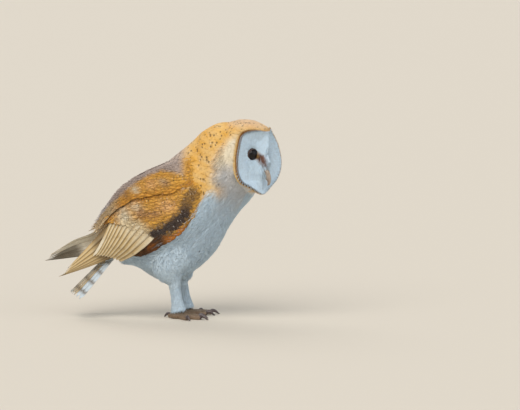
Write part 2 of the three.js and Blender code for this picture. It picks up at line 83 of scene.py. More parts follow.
LID_RADIUS = 7.3  # of the round opening between the lids
LID_RAISED = 0.3  # of the lids off the eyeball
BILL_PATH = [(0, -14, 45), (0, -20, 51.5), (0, -28, 56), (0, -36, 57), (0, -39.5, 55)]
BILL_SIZE = [(4.4, 3.6), (4.0, 3.5), (3.1, 3.4), (2.0, 2.3), (0.6, 0.6)]
LOWER_BILL_PATH = [(0, -23, 43), (0, -28, 49.5), (0, -33, 54.4)]
LOWER_BILL_SIZE = [(2.8, 2.0), (2.2, 1.6), (1.0, 0.6)]
COVERTS = {  # shares along the wing at the front and rear edges, degrees down at the upper and lower ones
    "front": [0.1, 0.07, 0.1, 0.13], "rear": [0.62, 0.56, 0.47, 0.4, 0.4, 0.46],
    "upper": [66, 52, 46, 42], "lower": [98, 105, 108, 113, 119],
}
SCAPULARS = {
    "front": [0.09, 0.1], "rear": [0.64, 0.66],
    "upper": [44, 20, 9, 7, 6], "lower": [67, 60, 53, 48, 44, 40],
}
# flight feathers: share along the wing and degrees down, at the root and the tip of the uppermost
# feather on each side and of the lowest one
SECONDARIES = {
    "right": [(0.54, 34), (0.8, 88)], "left": [(0.54, 30), (0.8, 84)], "lower": [(0.34, 98), (0.61, 132)],
}
PRIMARIES = {
    "right": [(0.6, 50), (0.94, 33)], "left": [(0.6, 22), (0.96, 10)], "lower": [(0.48, 118), (0.99, 127)],
}
TAIL_ROOT, TAIL_SLOPE, TAIL_LENGTH = np.array([-97.0, 0, 106]), math.radians(45), 98
TAIL_DOWN = np.array([-math.cos(TAIL_SLOPE), 0, -math.sin(TAIL_SLOPE)])
TAIL_UP = np.array([-math.sin(TAIL_SLOPE), 0, math.cos(TAIL_SLOPE)])
TAIL_HALF, TAIL_ROOF, TAIL_FEATHERS = (13, 29), 18, 12
FEET = {"right": (-9, -22, 24), "left": (2, 22, 8)}  # place, and degrees that it points outwards
PAD, PAD_HIGH = np.array([13, 9, 6.2]), 4.6  # half sizes of a foot's pad, and its middle's height
# by digit: heading in degrees, start, length, thickness and the claw's reach
TOES = {1: (160, 7, 12, 4.1, 11), 2: (22, 8, 22, 4.3, 13), 3: (-4, 10, 26, 4.4, 13), 4: (-40, 8, 20, 4.1, 11)}


# ---------------- curves and forms
def unit(v):
    """Directions of length 1."""
    return v / np.maximum(np.linalg.norm(v, axis=-1, keepdims=True), 1e-9)


def smoothstep(x, low, high):
    """Runs 0 to 1 as a value goes from low to high."""
    w = np.clip((x - low) / (high - low), 0, 1)
    return w * w * (3 - 2 * w)


def fade(x, low, high):
    """Runs 1 to 0 as a value goes from low to high."""
    return 1 - smoothstep(x, low, high)


def bell(x, centre, width):
    """1 at the centre, falling off to both sides of it."""
    return np.exp(-(((x - centre) / width) ** 2))


def read_line(line, x):
    """The height of a line of points at each x."""
    return np.interp(x, *zip(*line))


def flattened(v, normal):
    """Directions turned square to a normal."""
    return unit(v - normal * np.sum(v * normal, -1, keepdims=True))


def mix(a, b, share):
    """What lies a share of the way from a to b."""
    return np.asarray(a) + (np.asarray(b) - np.asarray(a)) * share


def within(values, share):
    """The value of an evenly spaced list at a share of its length."""
    return np.interp(share, np.linspace(0, 1, len(values)), values)


class Curve:
    """A centripetal Catmull-Rom curve through points, read at shares of its spans."""

    def __init__(self, points, closed=False):
        p = np.array(points, float)
        if p.ndim == 1:
            p = p[:, None]
        ends = (p[-1:], p[:2]) if closed else ([2 * p[0] - p[1]], [2 * p[-1] - p[-2]])
        line = np.vstack([ends[0], p, ends[1]])
        a, b, c, d = line[:-3], line[1:-2], line[2:-1], line[3:]
        before, span, after = (
            np.sqrt(np.linalg.norm(far - near, axis=1, keepdims=True))
            for near, far in ((a, b), (b, c), (c, d))
        )
        span = np.where(span < 1e-4, 1.0, span)
        before = np.where(before < 1e-4, span, before)
        after = np.where(after < 1e-4, span, after)
        start = span * ((b - a) / before - (c - a) / (before + span) + (c - b) / span)
        end = span * ((c - b) / span - (d - b) / (span + after) + (d - c) / after)
        self.closed = closed
        self.terms = (b, start, 3 * (c - b) - 2 * start - end, 2 * (b - c) + start + end)

    def __call__(self, t):
        count = len(self.terms[0])
        t = np.asarray(t, float)
        at = (t % 1 if self.closed else np.clip(t, 0, 1)) * count
        span = np.minimum(at.astype(int), count - 1)
        w = (at - span)[..., None]
        a, b, c, d = (term[span] for term in self.terms)
        return a + w * (b + w * (c + w * d))


def section_curves(sections):
    """The curves of a sectioned form along its back, along its belly and of its half width."""
    backs, bellies, halves = zip(*sections)
    return Curve([(x, 0, z) for x, z in backs]), Curve([(x, 0, z) for x, z in bellies]), Curve(halves)


def section_point(curves, t, degrees, side, lift=0.0):
    """The point of a section t along, some degrees down from the back and lifted off it, on a side."""
    back, belly, half = curves
    top, low = back(t), belly(t)
    angle = np.radians(degrees)
    up = (top - low) / 2
    up = up + unit(up) * np.asarray(lift)[..., None]
    wide = (half(t)[..., 0] + lift) * (1 + EGG * np.cos(angle))
    point = (top + low) / 2 + up * np.cos(angle)[..., None]
    point[..., 1] = side * wide * np.sin(angle)
    return point


torso_curves = section_curves(TORSO)
sheath_curves = {name: section_curves(SHEATH[name]) for name in SIDES}

OUT = np.array([
    math.cos(HEAD_TURN) * math.cos(HEAD_NOD), math.sin(HEAD_TURN) * math.cos(HEAD_NOD), -math.sin(HEAD_NOD)
])
LEFT = np.array([-math.sin(HEAD_TURN), math.cos(HEAD_TURN), 0])
UP = np.cross(OUT, LEFT)
HEAD_AXES = np.array([LEFT, UP, OUT])


def in_head(p):
    """Places given in the head's frame: to the left, up and out of the face."""
    return HEAD + np.asarray(p, float) @ HEAD_AXES


def from_head(p):
    """Places in the head's frame, the other way round."""
    return (p - HEAD) @ HEAD_AXES.T


rim_curve = Curve(RIM + [(-x, y, z) for x, y, z in RIM[-2:0:-1]], closed=True)
ridge_curve = Curve(RIDGE)


def face_point(turn, share):
    """A point of the face in the head's frame: turn runs round the rim, share from the ridge to the rim."""
    turn, share = np.broadcast_arrays(np.asarray(turn, float), np.asarray(share, float))
    rim = rim_curve(turn)
    ridge = ridge_curve(1 - np.abs(2 * (turn % 1) - 1))
    room = np.minimum(1, np.linalg.norm(rim - ridge, axis=-1) / DISH_FULL)
    point = ridge + (rim - ridge) * share[..., None]
    level = np.exp(-(((point[..., 1] - DISH_LEVEL) / DISH_SPREAD) ** 2))
    flank = smoothstep(share, -0.05, DISH_LOWEST) * (1 - smoothstep(share, DISH_LOWEST + 0.1, 1.1))
    point[..., 2] -= room * DISH_DEPTH * (0.35 + 0.65 * level) * flank
    point[..., 2] -= room * RIDGE_ROUND * np.clip(1 - share / 0.2, 0, 1) ** 2
    return point


EYES = {name: in_head((side * EYE_ACROSS, EYE_UP, EYE_OUT)) for name, side in SIDES.items()}
EYE_AXIS = np.array([math.sin(EYE_TURN), 0, math.cos(EYE_TURN)])
LID_HEIGHT = math.sqrt((EYE_RADIUS + LID_RAISED) ** 2 - LID_RADIUS**2)
eye_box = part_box("eye_right")
SHIFT = np.array((eye_box[0] + eye_box[1]) / 2) / MM - EYES["right"]


def placed(points):
    """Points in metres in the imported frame."""
    return (points + SHIFT) * MM


# ---------------- colours
def paint(red, green, blue):
    """A linear colour from its 0 to 255 values."""
    c = np.array([red, green, blue]) / 255
    return np.where(c <= 0.04045, c / 12.92, ((c + 0.055) / 1.055) ** 2.4)


GOLD = paint(216, 162, 70)
DEEP_GOLD = paint(196, 132, 48)
PALE_GOLD = paint(226, 192, 132)
PEACH = paint(222, 174, 122)
CREAM = paint(226, 214, 188)
WHITE = paint(204, 221, 233)
DISC_WHITE = paint(204, 223, 237)
SHADE_WHITE = paint(188, 200, 204)
LILAC = paint(206, 207, 208)
VEIL = paint(178, 164, 158)
SLATE = paint(76, 62, 54)
ORANGE = paint(186, 116, 38)
RUST = paint(118, 66, 34)
SHADOW = paint(66, 44, 26)
TAN = paint(200, 170, 118)
PALE_TAN = paint(222, 204, 166)
BAR = paint(122, 100, 70)
SPOT = paint(44, 30, 30)
DOT = paint(240, 236, 230)
RUFF = paint(172, 124, 66)
RUFF_DARK = paint(92, 68, 50)


# ---------------- materials
def new_material(name, roughness, **values):
    """A material with values on its shader's sockets, its tree and its shader."""
    material = bpy.data.materials.new(name)
    material.use_nodes = True
    shader = material.node_tree.nodes["Principled BSDF"]
    shader.inputs["Roughness"].default_value = roughness
    for socket, value in values.items():
        shader.inputs[socket.replace("_", " ")].default_value = value
    return material, material.node_tree, shader


def new_node(tree, kind, **values):
    """A node, with plain values on its sockets or the outputs of other nodes linked to them."""
    node = tree.nodes.new(f"ShaderNode{kind}")
    for socket, value in values.items():
        entry = node.inputs[socket.replace("_", " ")]
        if isinstance(value, bpy.types.NodeSocket):
            tree.links.new(value, entry)
        else:
            entry.default_value = value
    return node


def noise(tree, scale, detail=3.0, stretch=(1, 1, 1)):
    """The value of a noise that lies still on the object."""
    place = new_node(tree, "TexCoord").outputs["Object"]
    mapped = new_node(tree, "Mapping", Vector=place, Scale=stretch).outputs["Vector"]
    return new_node(tree, "TexNoise", Vector=mapped, Scale=scale, Detail=detail).outputs["Fac"]


def ramp(tree, value, low, high):
    """Runs 0 to 1 as a value goes from low to high."""
    node = new_node(tree, "MapRange", Value=value, From_Min=low, From_Max=high)
    node.interpolation_type = "SMOOTHSTEP"
    return node.outputs["Result"]


def product(tree, a, b):
    """Two values multiplied, of which either may be a plain number."""
    node = tree.nodes.new("ShaderNodeMath")
    node.operation = "MULTIPLY"
    for value, socket in zip((a, b), node.inputs):
        if isinstance(value, float):
            socket.default_value = value
        else:
            tree.links.new(value, socket)
    return node.outputs["Value"]


def tinted(tree, colour, share, tint):
    """A colour with a share of it multiplied by a tint."""
    node = tree.nodes.new("ShaderNodeMix")
    node.data_type = "RGBA"
    node.blend_type = "MULTIPLY"
    node.inputs[7].default_value = (*tint, 1)
    tree.links.new(share, node.inputs[0])
    tree.links.new(colour, node.inputs[6])
    return node.outputs[2]


def bumped(tree, shader, height, strength, distance):
    """Fine relief on a shader, below what its mesh gives."""
    node = new_node(tree, "Bump", Height=height, Strength=strength, Distance=distance)
    tree.links.new(node.outputs["Normal"], shader.inputs["Normal"])


def painted(tree):
    """The node of the colours painted on a mesh."""
    node = new_node(tree, "VertexColor")
    node.layer_name = "coat"
    return node


def plumage(name, roughness=0.8, sheen=0.08):
    """Feather: its colour is painted on the mesh, whose alpha says how strongly it is peppered."""
    material, tree, shader = new_material(
        name, roughness, Sheen_Weight=sheen, Sheen_Roughness=0.5, Specular_IOR_Level=0.2)
    coat = painted(tree)
    soft = product(tree, ramp(tree, noise(tree, 260.0), 0.35, 0.7), 0.3)
    shaded = tinted(tree, coat.outputs["Color"], soft, (0.78, 0.74, 0.7))
    pepper = product(tree, ramp(tree, noise(tree, 900.0, 2.0), 0.52, 0.62), coat.outputs["Alpha"])
    tree.links.new(tinted(tree, shaded, pepper, (0.42, 0.38, 0.38)), shader.inputs["Base Color"])
    bumped(tree, shader, noise(tree, 1400.0, 2.0), 0.25, 0.0003)
    return material


def horn(name, colour, dark, roughness, coat=0.0):
    """Bill or claw: two tones in streaks along its height."""
    material, tree, shader = new_material(name, roughness, Coat_Weight=coat)
    streaks = tree.nodes.new("ShaderNodeMix")
    streaks.data_type = "RGBA"
    streaks.inputs[6].default_value = (*colour, 1)
    streaks.inputs[7].default_value = (*dark, 1)
    tree.links.new(ramp(tree, noise(tree, 300.0, 3.0, (1, 1, 0.35)), 0.4, 0.75), streaks.inputs[0])
    tree.links.new(streaks.outputs[2], shader.inputs["Base Color"])
    bumped(tree, shader, noise(tree, 900.0), 0.2, 0.0002)
    return material


def leather(name):
    """Bare scaly skin, whose colour is painted on the mesh."""
    material, tree, shader = new_material(name, 0.55, Specular_IOR_Level=0.4)
    mottle = ramp(tree, noise(tree, 500.0), 0.4, 0.7)
    colour = tinted(tree, painted(tree).outputs["Color"], mottle, (0.7, 0.62, 0.6))
    tree.links.new(colour, shader.inputs["Base Color"])
    place = new_node(tree, "TexCoord").outputs["Object"]
    scales = new_node(tree, "TexVoronoi", Vector=place, Scale=900.0)
    bumped(tree, shader, scales.outputs["Distance"], 0.5, 0.0004)
    return material


PLUMAGE = plumage("feather")
SILK = plumage("down", 0.9, 0.25)
BILL = horn("bill_horn", paint(166, 150, 134), paint(124, 106, 92), 0.4)
CLAW = horn("claw_horn", paint(88, 72, 70), paint(52, 42, 42), 0.32, 0.3)
FOOT = leather("foot_skin")
EYE = new_material("eye", 0.08, Base_Color=(*paint(16, 11, 9), 1), Specular_IOR_Level=0.3)[0]
LID = leather("eyelid")


# ---------------- meshes
def add_piece(name, points, faces, material, paints=None, bake=None, flat=None):
    """A piece from points in millimetres and its triangles, with a colour and a bake place at each point."""
    mesh = bpy.data.meshes.new(name)
    mesh.vertices.add(len(points))
    mesh.vertices.foreach_set("co", placed(points).astype(np.float32).ravel())
    mesh.loops.add(faces.size)
    mesh.loops.foreach_set("vertex_index", faces.astype(np.int32).ravel())
    mesh.polygons.add(len(faces))
    mesh.polygons.foreach_set("loop_start", np.arange(0, faces.size, faces.shape[1], dtype=np.int32))
    mesh.update(calc_edges=True)
    mesh.shade_smooth()
    if flat is not None:
        mesh.polygons.foreach_set("use_smooth", ~flat)
    if paints is not None:
        layer = mesh.color_attributes.new("coat", "FLOAT_COLOR", "POINT")
        layer.data.foreach_set("color", np.clip(paints, 0, 1).astype(np.float32).ravel())
    if bake is not None:
        layer = mesh.uv_layers.new(name="OFBake")
        layer.data.foreach_set("uv", bake[faces.ravel()].astype(np.float32).ravel())
    mesh.materials.append(material)
    mesh.validate()
    piece = bpy.data.objects.new(name, mesh)
    bpy.context.scene.collection.objects.link(piece)
    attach(piece, "root")
    return piece


def ring_faces(rows, around):
    """The triangles between rings of points, row by row."""
    i, j = np.meshgrid(np.arange(rows - 1), np.arange(around), indexing="ij")
    a = (i * around + j).ravel()
    b = (i * around + (j + 1) % around).ravel()
    c, d = a + around, b + around
    return np.vstack([np.stack([a, b, d], 1), np.stack([a, d, c], 1)])


def tube(rings):
    """A closed tube over rings of points, with a fan at each end."""
    rows, around, _ = rings.shape
    points = np.vstack([rings.reshape(-1, 3), rings[0].mean(0), rings[-1].mean(0)])
    faces = [ring_faces(rows, around)]
    ring = np.arange(around)
    after = (ring + 1) % around
    faces.append(np.stack([after, ring, np.full(around, rows * around)], 1))
    last = (rows - 1) * around
    faces.append(np.stack([last + ring, last + after, np.full(around, rows * around + 1)], 1))
    return outward(points, np.vstack(faces))


def outward(points, faces):
    """Closed surfaces with their triangles turned to face out."""
    a, b, c = (points[faces[:, i]] for i in range(3))
    volume = np.einsum("ij,ij->i", a, np.cross(b, c)).sum()
    return points, faces if volume > 0 else faces[:, ::-1]


def joined(parts):
    """Several (points, faces, ...) as one, with their other columns stacked."""
    starts = np.cumsum([0] + [len(part[0]) for part in parts[:-1]])
    points = np.vstack([part[0] for part in parts])
    faces = np.vstack([part[1] + start for part, start in zip(parts, starts)])
    return (points, faces) + tuple(np.concatenate(column) for column in zip(*(part[2:] for part in parts)))


def corner_normals(points, faces):
    """The surface's way out at each point."""
    a, b, c = (points[faces[:, i]] for i in range(3))
    normal = np.cross(b - a, c - a)
    total = np.zeros_like(points)
    for i in range(3):
        for k in range(3):
            total[:, k] += np.bincount(faces[:, i], normal[:, k], len(points))
    return unit(total)


# ---------------- beds, which feathers are laid on
def tree_of(points):
    """A tree that finds the nearest of some points."""
    tree = kdtree.KDTree(len(points))
    for k, p in enumerate(points.tolist()):
        tree.insert(p, k)
    tree.balance()
    return tree


class Bed:
    """A surface that feathers are laid on, with its colours."""

    def __init__(self, points, faces, paints):
        self.points, self.faces, self.paints = points, faces, paints
        self.normals = corner_normals(points, faces)
        self.face_normals = unit(self.normals[faces].sum(1))
        self.face_paints = paints[faces].mean(1)
        self.tree = BVHTree.FromPolygons(points.tolist(), faces.tolist())

    def under(self, points):
        """The nearest places on the surface, with its normals and colours there."""
        found = [self.tree.find_nearest(p) for p in points.reshape(-1, 3).tolist()]
        index = np.array([f[2] for f in found])
        place = np.array([f[0][:] for f in found]).reshape(points.shape)
        shape = points.shape[:-1]
        return place, self.face_normals[index].reshape(*shape, 3), self.face_paints[index].reshape(*shape, 4)

    def stations(self, roots, lie, length, shares):
        """The places, normals and colours under feathers, at shares of their length."""
        normal = self.under(roots)[1]
        lie = flattened(lie, normal)
        line = roots[:, None] + lie[:, None] * (length[:, None] * shares)[..., None]
        return self.under(line)


def thinned(points, spacing):
    """A random choice of points that keep apart, by a distance that may differ from place to place."""
    tree = tree_of(points)
    free = np.ones(len(points), bool)
    kept = []
    for k in rng.permutation(len(points)):
        if free[k]:
            kept.append(k)
            free[[found[1] for found in tree.find_range(points[k], spacing[k])]] = False
    return np.array(kept)


# ---------------- vanes and locks
BAKE_PATCH = 0.003  # size of a feather's patch in the bake
BAKE_LOW, BAKE_SPAN = 0.03, 0.94  # where patches start and how far they run
SPOT_SPREAD = 0.45  # how dark a spot's two neighbours are
BODY_ROUND = 45.0  # radius that a feather's width is bent round
CURL = 0.35  # how far a lock comes back to the body
LOCK_RINGS = ((0.0, 0.8), (0.35, 1.0), (0.72, 0.7))  # share along a lock, and of its width


def repeated(shape, faces, paints, place, flat):
    """The same triangles for each of many closed feathers, of which each has its own points."""
    n, each, _ = shape.shape
    faces = (np.array(faces)[None] + (np.arange(n) * each)[:, None, None]).reshape(-1, 3)
    points, faces = outward(shape.reshape(-1, 3), faces)
    return points, faces, paints.reshape(-1, 4), place.reshape(-1, 2), np.tile(flat, n)


def vanes(
    on, up, half, lift, paints, bake, columns=(-1, 0, 1), beneath=(0,), thick=0.22, camber=0.06, tilt=0.0,
    spots=None, behind=None,
):
    """Closed thin vanes over places and normals of (feathers, stations), the last station being the tip.

    Gives points, faces, paints, bake places and which faces are flat."""
    stations = on.shape[1]
    across = unit(np.cross(up, unit(np.gradient(on, axis=1))))
    share = np.linspace(0, 1, stations)
    ring = [(q, 0.0) for q in columns] + [(q, thick) for q in beneath]
    shape, coat, place = [], [], []
    for k in range(stations - 1):
        for q, drop in ring:
            side = half[:, k] * q
            bent = side**2 / (2 * BODY_ROUND)
            height = lift[:, k] + camber * half[:, k] * (1 - q * q) + tilt * q - bent - drop
            shape.append(on[:, k] + across[:, k] * side[:, None] + up[:, k] * height[:, None])
            coat.append(behind[:, k] if drop and behind is not None else paints[:, k])
            place.append(bake + BAKE_PATCH * np.array([q / 2, share[k] - 0.5]))
    shape.append(on[:, -1] + up[:, -1] * (lift[:, -1] - thick / 2)[:, None])
    coat.append(paints[:, -1])
    place.append(bake + BAKE_PATCH * np.array([0, 0.5]))
    coat = np.stack(coat, 1)
    if spots is not None:
        dark = (stations - 3) * len(ring) + len(columns) // 2
        coat[spots, dark, :3] = SPOT
        for beside in (dark - 1, dark + 1):
            coat[spots, beside, :3] = mix(coat[spots, beside, :3], SPOT, SPOT_SPREAD)
        coat[spots, -1, :3] = DOT
    size = len(ring)
    faces, flat = [], []
    for k in range(stations - 2):
        for j in range(size):
            a, b = k * size + j, k * size + (j + 1) % size
            faces += [(a, b, b + size), (a, b + size, a + size)]
            flat += [j >= len(columns) - 1] * 2
    last = (stations - 2) * size
    for j in range(size):
        faces.append((last + j, last + (j + 1) % size, last + size))
        flat.append(j >= len(columns) - 1)
    for j in range(1, size - 1):
        faces.append((0, j + 1, j))
        flat.append(True)
    return repeated(np.stack(shape, 1), faces, coat, np.stack(place, 1), flat)


def locks(roots, lie, normal, length, half, rise, paints, bake):
    """Fine closed tapering locks, which stand off at a rise and curl back to the body."""
    across = unit(np.cross(normal, lie))
    shape, place = [], []
    for share, wide in LOCK_RINGS:
        height = rise * share - CURL * rise * share**2
        centre = roots + lie * (length * share)[:, None] + normal * (length * height)[:, None]
        for turn in (math.radians(90), math.radians(210), math.radians(330)):
            off = across * math.cos(turn) + normal * math.sin(turn)
            shape.append(centre + off * (half * wide)[:, None])
            place.append(bake + BAKE_PATCH * np.array([math.cos(turn) / 2, share - 0.5]))
    shape.append(roots + lie * length[:, None] + normal * (length * rise * (1 - CURL))[:, None])
    place.append(bake + BAKE_PATCH * np.array([0, 0.5]))
    faces = [(0, 2, 1)]
    for k in (0, 3):
        for j in range(3):
            a, b = k + j, k + (j + 1) % 3
            faces += [(a, b, b + 3), (a, b + 3, a + 3)]
    faces += [(6, 7, 9), (7, 8, 9), (8, 6, 9)]
    coat = np.repeat(paints[:, None], len(shape), 1)
    return repeated(np.stack(shape, 1), faces, coat, np.stack(place, 1), [False] * len(faces))


def varied(paints, amount):
    """Colours made a little lighter or darker, feather by feather."""
    paints = paints.copy()
    change = 1 + amount * rng.standard_normal((len(paints),) + (1,) * (paints.ndim - 1))
    paints[..., :3] = np.clip(paints[..., :3] * change, 0, 1)
    return paints


def add_coat(name, parts, material=PLUMAGE):
    """One piece from parts of feathers."""
    points, faces, paints, bake, flat = joined(parts)
    return add_piece(name, points, faces, material, paints, bake, flat)


def plain(colour, like):
    """One colour for each of some points."""
    return np.tile(colour, (len(like), 1))


def blend(base, colour, share):
    """Colours drawn towards another by a share at each point."""
    return base + (np.asarray(colour) - base) * share[:, None]


# ---------------- places on the body
def place_on(curves, points):
    """How far along the nearest point of a sectioned form is, its degrees down, and the way to the tail."""
    t, degrees = (a.ravel() for a in np.meshgrid(np.linspace(0.01, 0.99, 90), np.linspace(-178, 178, 90)))
    side = np.where(degrees < 0, SIDES["right"], SIDES["left"])
    grid = section_point(curves, t, np.abs(degrees), side)
    tailwards = unit(section_point(curves, t - 0.01, np.abs(degrees), side) - grid)
    tree = tree_of(grid)
    found = np.array([tree.find(p)[1] for p in points.tolist()])
    return t[found], degrees[found], tailwards[found]


def off_line(x, z, line):
    """How far places, seen from the side, lie from a line through points."""
    p = np.column_stack([x, z])
    nearest = np.full(len(p), 1e9)
    for a, b in zip(line[:-1], line[1:]):
        a, b = np.array(a, float), np.array(b, float)
        share = np.clip(((p - a) @ (b - a)) / ((b - a) @ (b - a)), 0, 1)
        nearest = np.minimum(nearest, np.linalg.norm(p - a - share[:, None] * (b - a), axis=1))
    return nearest


def blob(x, z, place, size):
    """1 at a place, falling off round it."""
    return np.exp(-(((x - place[0]) / size[0]) ** 2) - ((z - place[1]) / size[1]) ** 2)


# lines seen from the side: where the gold meets the white, the wing's lower edge and the feathers' lower end
UPPER_EDGE = [
    (-120, 104), (-60, 96), (-36, 113), (-10, 131), (3, 145), (14, 158), (24, 172), (32, 184), (42, 183),
    (52, 178), (62, 182), (75, 200),
]
FLANK_EDGE = [
    (-90, 97), (-80, 103), (-65, 114), (-53, 122), (-42, 125), (-32, 123), (-19, 126), (-7, 137), (3, 144),
    (14, 151), (24, 160),
]
WHITE_EDGE = [
    (-75, 84), (-61, 93), (-51, 100), (-36, 112), (-25, 117), (-10, 129), (3, 143), (12, 152), (24, 170),
]
# in the head: at each height, how far out the cheek's edge lies, and how far aside the rust by the eye
CHEEK_EDGE = [(-60, 18), (-41, 13), (-28, 9), (-5, 5), (20, 11), (36, 17)]
RUST_LINE = [(-16, 3.2), (-10, 4.4), (-2, 6.2), (6, 7.5)]


def flank_paints(colour, x, z):
    """Orange below the wing's lower edge, rust and dark where the wing shades it."""
    under = fade(z - read_line(FLANK_EDGE, x), -2, 1)
    tone = blend(plain(ORANGE, x), SHADOW, 0.92 * smoothstep(-x, 20, 34))
    tone = blend(tone, paint(140, 80, 24), 0.8 * blob(x, z, (-48, 108), (7, 6)))
    return blend(colour, tone, under), under


def body_paints(points, owner):
    """The colour of each point of the body with how strongly it is peppered, and how golden it is."""
    x, y, z = points.T
    h = from_head(points)
    is_head = np.isin(owner, OF_HEAD)
    leg = np.isin(owner, OF_LEG)
    wavy = z + 2.5 * np.sin(x * 0.35) * np.cos(y * 0.4)
    high = wavy - read_line(UPPER_EDGE, x)
    upper = smoothstep(high, -3 - 4 * smoothstep(x, 20, 50), 6 + 8 * smoothstep(x, 20, 50))
    front = read_line(CHEEK_EDGE, h[:, 1]) + 2 * np.sin(y * 0.3) * np.cos(z * 0.23)
    cheek = smoothstep(h[:, 2] - front, -12, 10) * fade(h[:, 1], 20, 38) * (np.abs(h[:, 0]) > 12)
    upper = np.where(is_head, smoothstep(h[:, 1], -60, -46), upper)
    # painted shade: the white turns grey towards the lowest belly
    colour = blend(plain(WHITE, x), SHADE_WHITE, 0.5 * smoothstep(-z, -75, -52))
    clouds = 0.3 + 0.3 * np.sin(x * 0.21 + z * 0.17) * np.cos(z * 0.27)
    clouds = clouds + 0.55 * blob(x, z, (44, 205), (20, 26))
    gold = blend(plain(GOLD, x), PALE_GOLD, np.clip(clouds, 0, 1))
    colour = blend(colour, gold, upper)
    crown = np.where(is_head, smoothstep(h[:, 1], 32, 50), 0)
    colour = blend(colour, paint(216, 184, 152), 0.8 * crown)
    pale = blend(plain(CREAM, x), LILAC, smoothstep(-h[:, 1], 2, 26))
    colour = blend(colour, pale, 0.95 * cheek)
    flank = smoothstep(np.abs(y), 30, 38) * smoothstep(z - read_line(WHITE_EDGE, x), -3, 1)
    flank = flank * (x < 20) * (z < 150) * ~leg
    colour = blend(colour, flank_paints(colour, x, z)[0], flank)
    mantle = np.where(is_head, 0, smoothstep(-x, -12, 12) * upper * smoothstep(z, 160, 200))
    colour = blend(colour, VEIL, 0.85 * mantle)
    pepper = 0.75 * mantle + 0.2 * crown + 0.08 * upper
    paints = np.column_stack([np.where(leg[:, None], WHITE, colour), np.where(leg, 0, pepper)])
    return paints, upper * (1 - cheek)


def disc_paints(h):
    """The colours of the face: white, with rust in front of each eye and a shade above it."""
    x, y = np.abs(h[:, 0]), h[:, 1]
    rust = bell(x, read_line(RUST_LINE, y), 2.8) * smoothstep(y, -15, -4) * fade(y, 1, 8)
    dark = blob(x, y, (6.8, -1), (2.0, 4.5))
    # painted shade: the disc is greyed in the hollow above each eye
    shade = blob(x, y, (EYE_ACROSS + 1, EYE_UP + 9), (7, 3.5))
    colour = blend(plain(DISC_WHITE, x), paint(150, 162, 168), 0.6 * shade)
    colour = blend(colour, RUST, np.minimum(0.95, 1.3 * rust))
    colour = blend(colour, RUFF_DARK * 0.6, np.minimum(0.9, dark))
    return np.column_stack([colour, np.zeros(len(h))])


# ---------------- skin
FLESH = ["head", "facial_disc", "neck", "trunk"]
FLESH += [f"leg_{name}_{part}" for name in SIDES for part in ("thigh", "shank")]
FLESH += [f"scapulars_{name}" for name in SIDES] + [f"wing_{name}_coverts" for name in SIDES]
OF_HEAD, OF_NECK, OF_TRUNK = [0, 1], [2], [3]
OF_LEG = [k for k, name in enumerate(FLESH) if name.startswith("leg")]
OF_SHELLS = [k for k, name in enumerate(FLESH) if "scapulars" in name or "coverts" in name]
FEATHERS = {  # length, half width, spacing and the coat's depth, by the solid that the skin comes from
    "head": (9, 2.6, 2.3, 1.3), "facial_disc": (6, 1.4, 1.9, 0.9), "neck": (13, 3.8, 3.0, 1.9),
    "trunk": (16, 4.0, 3.2, 2.2), "scapulars": (13, 3.6, 3.2, 2.2), "coverts": (12, 3.4, 3.2, 1.8),
    "thigh": (13, 2.8, 2.6, 2.0), "shank": (6.5, 1.3, 1.6, 1.2),
}
VOXEL = 1.5
OVERLAP = 0.5  # how far the solids are swollen, so that the narrow gaps between them close
FACE_COAT = 1.5  # how far behind the face's surface the skin lies
LID_SLOPE, RIDGE_SLOPE = 0.9, 3.2  # of the hollow round each eye, towards its cheek and the ridge
SOCKET = 1.4  # how far behind the eyeball's surface the skin lies
SHOULDER_END, SHOULDER_LOW = 0.14, 130  # where the step at the wings' front edge is smoothed away
MANTLE_DOWN = 38  # how many degrees down the back the wings' upper edges are smoothed away
FLANK_REAR = -75  # where the flank's smoothing ends
FACE_EDGE = 0.985  # share of the way to the rim where the open face ends
# rounds of smoothing: of the feathers' sizes, the skin, where steps are eased, the eased steps, the lie
SIZE_ROUNDS, SKIN_ROUNDS, EASE_ROUNDS, STEP_ROUNDS, LIE_ROUNDS = 10, 8, 12, 60, 20


def kind_of(name):
    """Which row of FEATHERS a node of flesh takes."""
    return next(kind for kind in FEATHERS if kind in name)


def node_mesh(name):
    """A CAD node's points, in millimetres, and its triangles, with its shared corners welded."""
    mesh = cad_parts[name].data
    mesh.calc_loop_triangles()
    points = np.empty(len(mesh.vertices) * 3)
    mesh.vertices.foreach_get("co", points)
    faces = np.empty(len(mesh.loop_triangles) * 3, np.int32)
    mesh.loop_triangles.foreach_get("vertices", faces)
    points = points.reshape(-1, 3) / MM - SHIFT
    _, first, same = np.unique(np.round(points, 3), axis=0, return_index=True, return_inverse=True)
    return points[first], same.ravel()[faces].reshape(-1, 3)


def largest(points, faces, edges):
    """The largest body alone, without the pockets inside it."""
    label = np.arange(len(points))
    while True:
        low = np.minimum(label[edges[:, 0]], label[edges[:, 1]])
        new = label.copy()
        np.minimum.at(new, edges[:, 0], low)
        np.minimum.at(new, edges[:, 1], low)
        new = new[new]
        if (new == label).all():
            break
        label = new
    kept = label == np.bincount(label).argmax()
    index = np.cumsum(kept) - 1
    return points[kept], index[faces[kept[faces[:, 0]]]], index[edges[kept[edges[:, 0]]]]


